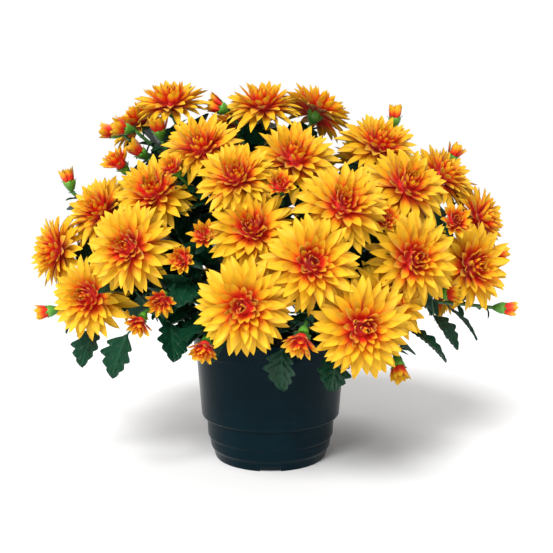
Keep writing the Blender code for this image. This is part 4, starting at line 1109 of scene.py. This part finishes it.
def vectors(row):
    """Places in metres from places in mm."""
    return [Vector(p) * MM for p in row]


# Every head and bud by name
Head = namedtuple("Head", "kind place facing half_width")
HEADS = {
    f"{title}_{number:02d}": Head(kind, Vector(spec[:3]) * MM, direction(*spec[3:5]), spec[5] / 2 * MM)
    for title, kind, specs in (
        ("bloom", "full", FULL_HEADS),
        ("young_head", "young", YOUNG_HEADS),
        ("bud", "bud", BUDS),
    )
    for number, spec in enumerate(specs, 1)
}
LeafBlades = namedtuple("LeafBlades", "large inner small")


def branch_line(plant, name):
    """The rounded line of the branch that carries this head or bud, up to the foot of its cup."""
    head = HEADS[name]
    cup = CUPS[head.kind]
    foot = head.place + head.facing * (cup.foot * head.half_width - cup.length * MM)
    return smooth_line([*vectors(BRANCHES[plant][name]), foot], LINE_STEPS)


def cup_line(head):
    """The line and radii of the green cup that a branch ends in, up to its mouth."""
    cup = CUPS[head.kind]
    mouth = head.place + head.facing * cup.foot * head.half_width
    low, radius = BRANCH_RADIUS * MM, cup.radius * head.half_width
    radii = [low + (radius - low) * s if i < CUP_GROWS else radius * s for i, s in enumerate(cup.swell)]
    return [mouth - head.facing * (cup.length * MM) * (1 - s) for s in CUP_PLACES], radii


def tapering(line, radius, start, loss):
    """Radii along a line, from start times radius, that lose this share towards its end."""
    return [radius * MM * (start - loss * i / len(line)) for i in range(len(line))]


def leaflet_template():
    """A small lance-shaped leaf of length 1, folded along its rib."""

    def relief(reach, side, half):
        return abs(side) * half * 0.35

    return blade_mesh("small leaf", LEAFLET_OUTLINE, 4, 1.3, bent_spine(-0.5), relief, 0.03)


def leaf_template(name, droop, pucker, thickness, outline, columns):
    """A lobed leaf of length 1, hollowed along its rib and puckered between its veins."""

    def spine(reach):
        return reach, -droop * reach * reach

    def relief(reach, side, half):
        wave = math.cos((reach - VEIN_SWEEP * abs(side)) * math.tau * VEINS)
        return 0.22 * abs(side) * half - pucker * wave * math.sin(math.pi * abs(side) ** 0.7)

    return blade_mesh(name, outline, columns, LEAF_FULLNESS, spine, relief, thickness)


def leaf_blades(sizes):
    """The leaves that all others are copies of: large and plainer ones at each droop, and a small one."""
    thickness = sizes.leaf_thickness / (COMMON_LEAF * MM)
    plain = (*LEAF_OUTLINE[:-1:3], LEAF_OUTLINE[-1])
    pucker = sizes.leaf_pucker
    large = [leaf_template(f"leaf {d}", d, pucker, thickness, LEAF_OUTLINE, 10) for d in LEAF_DROOPS]
    inner = [leaf_template(f"inner leaf {d}", d, 0.01, thickness, plain, 4) for d in LEAF_DROOPS]
    return LeafBlades(large, inner, leaflet_template())


def place_leaf(bm, template, foot, along, up, size, rng):
    """Adds one leaf with a tone of its own."""
    grow(bm, template, blade_frame(foot, along, up) @ Matrix.Scale(size, 4), rng.random())


def sepals(bm, template, head, radius, rng):
    """Small pointed leaves that stand round a cup's mouth."""
    cup = CUPS[head.kind]
    mouth = placed(head.place + head.facing * cup.foot * head.half_width, head.facing)
    size = cup.sepal_length * head.half_width
    for number in range(cup.sepals):
        turn = Matrix.Rotation(math.tau * (number + rng.uniform(-0.1, 0.1)) / cup.sepals, 4, "Z")
        lean = Matrix.Rotation(-math.radians(rng.uniform(50, 70)), 4, "Y")
        spot = mouth @ turn @ Matrix.Translation((radius * 0.9, 0.0, -size * 0.35)) @ lean
        grow(bm, template, spot @ Matrix.Diagonal((size, size * 1.5, size, 1.0)), rng.random(), 0.8)


class CHRYSANTHEMUM_OT_stems(bpy.types.Operator):
    """Make each plant's main stem, branches and green cups"""

    bl_idname = "chrysanthemum.stems"
    bl_label = "Stems and cups"

    def execute(self, context):
        sizes = context.scene.chrysanthemum_foliage
        finish, small = stalk_finish(context.scene.chrysanthemum_finishes), leaflet_template()
        for plant, points in PLANTS.items():
            rng = random.Random(plant)
            bm = start_bmesh()
            line = smooth_line(vectors(points), LINE_STEPS)
            add_stalk(bm, line, tapering(line, STEM_RADIUS, 1, 0.28), sizes.stalk_sides, (0.0, 0.15))
            for name in BRANCHES[plant]:
                line = branch_line(plant, name)
                cup, cup_radii = cup_line(HEADS[name])
                radii = tapering(line, BRANCH_RADIUS, 1.25, 0.25) + cup_radii
                add_stalk(bm, line + cup, radii, sizes.stalk_sides, (0.05, 1.0))
                sepals(bm, small, HEADS[name], cup_radii[-1], rng)
            for root, foot, *_ in LEAVES[plant]:
                root, foot = vectors((root, foot))
                if (foot - root).length > SHORTEST_STALK * MM:
                    line = [root, root.lerp(foot, 0.5) - Vector((0.0, 0.0, MM)), foot]
                    radii = [MM, LEAF_STALK_RADIUS * MM, LEAF_STALK_RADIUS * MM]
                    add_stalk(bm, line, radii, LEAF_STALK_SIDES, (0.1, 0.1))
            add_piece(plant.replace("plant", "stems"), bm, finish, plant)
        return {"FINISHED"}


def clothe(bm, line, sizes, blades, rng):
    """Leaves all round one branch, at golden angles, that fill the bush between the heads."""
    way = rng.uniform(0, math.tau)
    kinds = [INNER_LEAF] * sizes.inner_leaves + [INNER_LEAFLET] * sizes.inner_leaflets
    places = [(rng.uniform(*kind.places), kind) for kind in kinds]
    for number, (spot, kind) in enumerate(places):
        at = min(int(spot * (len(line) - 1)), len(line) - 2)
        ahead = (line[at + 1] - line[at]).normalized()
        side = Matrix.Rotation(way + number * GOLDEN_ANGLE, 3, ahead) @ ahead.orthogonal().normalized()
        along = (ahead * kind.follow + side).normalized()
        up = (Vector((0, 0, 1)) + side * 0.2 - along * along.z).normalized()
        size = rng.uniform(*kind.lengths) * MM
        template = rng.choice(blades.inner) if kind is INNER_LEAF else blades.small
        place_leaf(bm, template, line[at], along, up, size, rng)


def collar(bm, line, head, sizes, blades, rng):
    """Leaves close under a full head, and small ones close under a half-open head or a bud."""
    way = rng.uniform(0, math.tau)
    kind = COLLAR_LEAF if head.kind == "full" else COLLAR_LEAFLET
    for number in range(sizes.collar_leaves):
        spot = line[-1].lerp(line[-3], rng.uniform(*kind.places))
        azimuth = way + number * math.tau / sizes.collar_leaves + rng.uniform(-0.4, 0.4)
        side = Matrix.Rotation(azimuth, 3, head.facing) @ head.facing.orthogonal().normalized()
        template = rng.choice(blades.inner) if kind is COLLAR_LEAF else blades.small
        size = rng.uniform(*kind.lengths) * (head.half_width if kind is COLLAR_LEAF else MM)
        along = side + head.facing * kind.follow
        up = head.facing - along * head.facing.dot(along) / along.length_squared
        place_leaf(bm, template, spot, along, up, size, rng)


def skirt(bm, plant, sizes, blades, rng):
    """Leaves that hang outwards from a plant's foot over the pot's rim."""
    foot = Vector(PLANTS[plant][1]) * MM
    kind = MIDDLE_SKIRT if plant == "plant_middle" else SIDE_SKIRT
    middle, spread = math.atan2(foot.y, foot.x), math.radians(kind.spread)
    for number in range(sizes.skirt_leaves):
        share_round = (number + rng.uniform(0.2, 0.8)) / sizes.skirt_leaves * 2 - 1
        out = direction(math.degrees(middle + spread * share_round) + 90, 0)
        radius, height = rng.uniform(*kind.radii), rng.uniform(*kind.heights)
        spot = Vector((out.x * radius * MM, out.y * radius * MM, height * MM))
        line = smooth_line([foot, foot.lerp(spot, 0.5) + Vector((0, 0, SKIRT_ARCH * MM)), spot], 3)
        add_stalk(bm, line, [LEAF_STALK_RADIUS * MM] * len(line), SKIRT_SIDES, (0.0, 0.0))
        along = out + Vector((0, 0, rng.uniform(-0.25, 0.35)))
        size = rng.uniform(*kind.lengths) * MM
        up = Vector((rng.uniform(-0.3, 0.3), rng.uniform(-0.3, 0.3), 1.0)) + out * 0.4
        place_leaf(bm, rng.choice(blades.large), spot, along, up, size, rng)


class CHRYSANTHEMUM_OT_leaves(bpy.types.Operator):
    """Make the lobed leaves and the small lance-shaped ones"""

    bl_idname = "chrysanthemum.leaves"
    bl_label = "Leaves"

    def execute(self, context):
        sizes = context.scene.chrysanthemum_foliage
        finish, blades = leaf_finish(context.scene.chrysanthemum_finishes), leaf_blades(sizes)
        for plant in PLANTS:
            rng = random.Random(plant)
            bm = start_bmesh()
            for _, foot, along, up, size, droop in LEAVES[plant]:
                nearest = min(LEAF_DROOPS, key=lambda made, droop=droop: abs(made - droop))
                template = blades.large[LEAF_DROOPS.index(nearest)]
                place_leaf(bm, template, Vector(foot) * MM, along, up, size * MM * LEAF_SHARE, rng)
            for foot, along, up, size in LEAFLETS[plant]:
                place_leaf(bm, blades.small, Vector(foot) * MM, along, up, size * MM, rng)
            for name in BRANCHES[plant]:
                line = branch_line(plant, name)
                clothe(bm, line, sizes, blades, rng)
                collar(bm, line, HEADS[name], sizes, blades, rng)
            skirt(bm, plant, sizes, blades, rng)
            add_piece(plant.replace("plant", "leaves"), bm, finish, plant)
        return {"FINISHED"}


# Flowers


def petal_templates(name, outline, columns, row, sizes, rng):
    """Several petals of one row, each a little different, of length 1."""
    made = []
    for number in range(PETAL_VARIANTS):
        stray = rng.uniform(-BEND_STRAY, BEND_STRAY) * sizes.petal_unevenness
        bend = math.radians(row.bend * BEND_GAIN + stray)
        cup = sizes.petal_cup * rng.uniform(*PETAL_CUP_RANGE)
        keel = rng.uniform(*KEEL_RANGE)
        twist = rng.uniform(-TWIST_STRAY, TWIST_STRAY) * sizes.petal_unevenness

        def relief(reach, side, half, cup=cup, keel=keel, twist=twist):
            return half * (2 * cup * side * side + keel * abs(side) + twist * side * reach)

        thickness = sizes.petal_thickness / (row.length * COMMON_HALF_WIDTH * MM)
        shape = (outline, columns, row.width / 2, bent_spine(bend), relief, thickness)
        made.append(blade_mesh(f"{name} {number}", *shape))
    return made


def row_templates(kind, rows, sizes):
    """The petals of each row of one kind of head."""
    rng = random.Random(kind)
    made = []
    for number, row in enumerate(rows):
        plain = kind != "full" or row.length < SHORT_PETAL
        outline, columns = (SHORT_PETAL_OUTLINE, 2) if plain else (PETAL_OUTLINE, 4)
        made.append(petal_templates(f"{kind} petal {number}", outline, columns, row, sizes, rng))
    return made


def room_round(node, matrix, half_width):
    """How far the solid head's lowest petals are bent, in degrees, and drawn in, all round it."""
    bm = bmesh.new()
    bm.from_mesh(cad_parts[node].data)
    bmesh.ops.remove_doubles(bm, verts=bm.verts[:], dist=0.01 * MM)
    bm.transform(matrix.inverted())
    tips = []
    for vertex in bm.verts:
        x, y, z = vertex.co
        reach = vertex.co.length
        if all(edge.other_vert(vertex).co.length < reach for edge in vertex.link_edges):
            rise = math.degrees(math.atan2(z, math.hypot(x, y)))
            tips.append((math.atan2(y, x), rise, reach / half_width))
    bm.free()
    lowest = []
    for step in range(ROOM_STEPS):
        azimuth = math.tau * step / ROOM_STEPS
        near = [
            (rise, reach)
            for tip_azimuth, rise, reach in tips
            if abs(math.remainder(tip_azimuth - azimuth, math.tau)) < ROOM_VIEW and reach > LEAST_REACH
        ]
        lowest.append(min(near, default=FREE_ROOM))
    smooth = []
    for step in range(ROOM_STEPS):
        around = [lowest[(step + k) % ROOM_STEPS] for k in (-1, 0, 0, 1)]
        smooth.append(tuple(sum(pair[i] for pair in around) / 4 for i in (0, 1)))
    return smooth


def fill_head(bm, room, matrix, half_width, rows, templates, stray, rng):
    """Adds a head's petals row by row, bent as the solid head's are where others crowd them."""
    start_turn = rng.uniform(0, math.tau)
    for number, row in enumerate(rows):
        lowness = max(0.0, 1 - max(row.rise, 0) / UPRIGHT)
        for petal in range(row.count):
            azimuth = start_turn + math.tau * (petal + 0.5 * (number % 2)) / row.count
            azimuth += rng.uniform(-0.5, 0.5) * stray * math.tau / row.count * TURN_STRAY
            spot = (azimuth / math.tau * ROOM_STEPS) % ROOM_STEPS
            low, share_on = int(spot), spot - int(spot)
            ends = zip(room[low % ROOM_STEPS], room[(low + 1) % ROOM_STEPS])
            lowest, reach = (before + (after - before) * share_on for before, after in ends)
            rise = row.rise + (lowest - FREE_ROOM[0]) * lowness
            rise += rng.uniform(-RISE_STRAY, RISE_STRAY) * stray * (2 - lowness)
            rise = max(RISE_LIMITS[0], min(rise, RISE_LIMITS[1]))
            drawn = 1 - (1 - max(DRAWN_IN[0], min(DRAWN_IN[1], reach))) * lowness
            size = row.length * half_width * drawn * rng.uniform(*LENGTH_RANGE)
            turn = (
                Matrix.Rotation(azimuth, 4, "Z")
                @ Matrix.Translation((row.root * half_width, 0.0, row.height * half_width))
                @ Matrix.Rotation(-math.radians(rise), 4, "Y")
                @ Matrix.Rotation(rng.uniform(-ROLL_STRAY, ROLL_STRAY) * stray, 4, "X")
                @ Matrix.Scale(size, 4)
            )
            redness = row.redness + rng.uniform(-RED_STRAY, RED_STRAY)
            grow(bm, rng.choice(templates[number]), matrix @ turn, rng.random(), redness)


def make_heads(context, kind, rows, core, title):
    """Makes every head of one kind, petal by petal, all in the petals' one finish."""
    sizes, colours = context.scene.chrysanthemum_flowers, context.scene.chrysanthemum_finishes
    finish = bpy.data.materials.get("petal silk") or petal_finish(colours)
    templates = row_templates(kind, rows, sizes)
    for name, head in HEADS.items():
        if head.kind != kind:
            continue
        bm, matrix, half_width = start_bmesh(), placed(head.place, head.facing), head.half_width
        if core:
            add_core(bm, matrix, half_width, core, sizes.core_sides)
        room = room_round(name, matrix, half_width) if kind == "full" else [FREE_ROOM] * ROOM_STEPS
        rng = random.Random(name)
        fill_head(bm, room, matrix, half_width, rows, templates, sizes.petal_unevenness, rng)
        node = next(plant for plant in PLANTS if name in BRANCHES[plant]) if kind == "bud" else name
        add_piece(f"{title}_{name[-2:]}", bm, finish, node)


class CHRYSANTHEMUM_OT_full_heads(bpy.types.Operator):
    """Make the full flower heads, petal by petal"""

    bl_idname = "chrysanthemum.full_heads"
    bl_label = "Full heads"

    def execute(self, context):
        make_heads(context, "full", FULL_ROWS, FULL_CORE, "flower")
        return {"FINISHED"}


class CHRYSANTHEMUM_OT_half_open_heads(bpy.types.Operator):
    """Make the half-open heads"""

    bl_idname = "chrysanthemum.half_open_heads"
    bl_label = "Half-open heads"

    def execute(self, context):
        make_heads(context, "young", YOUNG_ROWS, YOUNG_CORE, "half_open")
        return {"FINISHED"}


class CHRYSANTHEMUM_OT_buds(bpy.types.Operator):
    """Make the petals of the closed buds, which stand in the stems' green cups"""

    bl_idname = "chrysanthemum.buds"
    bl_label = "Buds"

    def execute(self, context):
        make_heads(context, "bud", BUD_ROWS, None, "petals_of_bud")
        return {"FINISHED"}


# Stage


def area_light(name, place, aim, width, height, power):
    """A rectangular lamp that looks at its aim."""
    data = bpy.data.lights.new(name, "AREA")
    data.shape, data.size, data.size_y, data.energy = "RECTANGLE", width, height, power
    lamp = new_object(name, data)
    lamp.location = place
    lamp.rotation_euler = (Vector(aim) - Vector(place)).to_track_quat("-Z", "Y").to_euler()


class CHRYSANTHEMUM_OT_stage(bpy.types.Operator):
    """Make the floor, lights and camera"""

    bl_idname = "chrysanthemum.stage"
    bl_label = "Stage"

    def execute(self, context):
        sizes = context.scene.chrysanthemum_studio
        bm = bmesh.new()
        bmesh.ops.create_grid(bm, x_segments=8, y_segments=8, size=sizes.floor_reach)
        floor = new_object("floor", mesh_from(bm, "floor"))
        finish, _, _ = new_finish("pale floor", Base_Color=(0.95, 0.95, 0.95, 1.0), Roughness=0.9)
        floor.data.materials.append(finish)

        world = bpy.data.worlds.new("studio")
        context.scene.world = world
        world.use_nodes = True
        seen = add_node(world.node_tree, "ShaderNodeLightPath").outputs["Is Camera Ray"]
        strength = scaled(world.node_tree, seen, 1.0 - sizes.surroundings, sizes.surroundings)
        backdrop = world.node_tree.nodes["Background"]
        backdrop.inputs["Color"].default_value = (1.0, 1.0, 1.0, 1.0)
        world.node_tree.links.new(strength, backdrop.inputs["Strength"])

        daylight = bpy.data.lights.new("daylight", "SUN")
        daylight.energy, daylight.angle = sizes.daylight, DAYLIGHT_SPREAD
        lamp = new_object("daylight", daylight)
        lamp.rotation_euler = Vector(DAYLIGHT_FROM).to_track_quat("Z", "Y").to_euler()
        for name, (place, aim, width, height, part) in LAMPS.items():
            area_light(name, place, aim, width, height, sizes.light_power * part)

        data = bpy.data.cameras.new("camera")
        data.sensor_width, data.lens = SENSOR_WIDTH, sizes.focal_length
        camera = new_object("camera", data)
        camera.location = sizes.camera_place
        camera.rotation_euler = (math.radians(90) - sizes.camera_pitch, 0.0, 0.0)
        context.scene.camera = camera
        context.scene.view_settings.view_transform = "Standard"
        return {"FINISHED"}


PIECES = (
    CHRYSANTHEMUM_OT_stage,
    CHRYSANTHEMUM_OT_pot,
    CHRYSANTHEMUM_OT_soil,
    CHRYSANTHEMUM_OT_stems,
    CHRYSANTHEMUM_OT_leaves,
    CHRYSANTHEMUM_OT_buds,
    CHRYSANTHEMUM_OT_half_open_heads,
    CHRYSANTHEMUM_OT_full_heads,
)
GROUPS = {
    "chrysanthemum_flowers": FlowerSizes,
    "chrysanthemum_foliage": FoliageSizes,
    "chrysanthemum_pot": PotSizes,
    "chrysanthemum_finishes": Finishes,
    "chrysanthemum_studio": StudioSizes,
}


class CHRYSANTHEMUM_PT_panel(bpy.types.Panel):
    """Sizes, colours and the buttons that make each piece"""

    bl_label = "Pot chrysanthemum"
    bl_idname = "CHRYSANTHEMUM_PT_panel"
    bl_space_type = "VIEW_3D"
    bl_region_type = "UI"
    bl_category = "Chrysanthemum"

    def draw(self, context):
        for name in GROUPS:
            group = getattr(context.scene, name)
            box = self.layout.box()
            for setting in group.__annotations__:
                box.prop(group, setting)
        for piece in PIECES:
            self.layout.operator(piece.bl_idname)


def register():
    for made in (*GROUPS.values(), *PIECES, CHRYSANTHEMUM_PT_panel):
        bpy.utils.register_class(made)
    for name, group in GROUPS.items():
        setattr(bpy.types.Scene, name, PointerProperty(type=group))


def unregister():
    for name in GROUPS:
        delattr(bpy.types.Scene, name)
    for made in reversed((*GROUPS.values(), *PIECES, CHRYSANTHEMUM_PT_panel)):
        bpy.utils.unregister_class(made)


def main():
    """Makes the whole object and its stage."""
    register()
    bpy.ops.chrysanthemum.stage()
    bpy.ops.chrysanthemum.pot()
    bpy.ops.chrysanthemum.soil()
    bpy.ops.chrysanthemum.stems()
    bpy.ops.chrysanthemum.leaves()
    bpy.ops.chrysanthemum.buds()
    bpy.ops.chrysanthemum.half_open_heads()
    bpy.ops.chrysanthemum.full_heads()


if __name__ == "__main__":
    main()
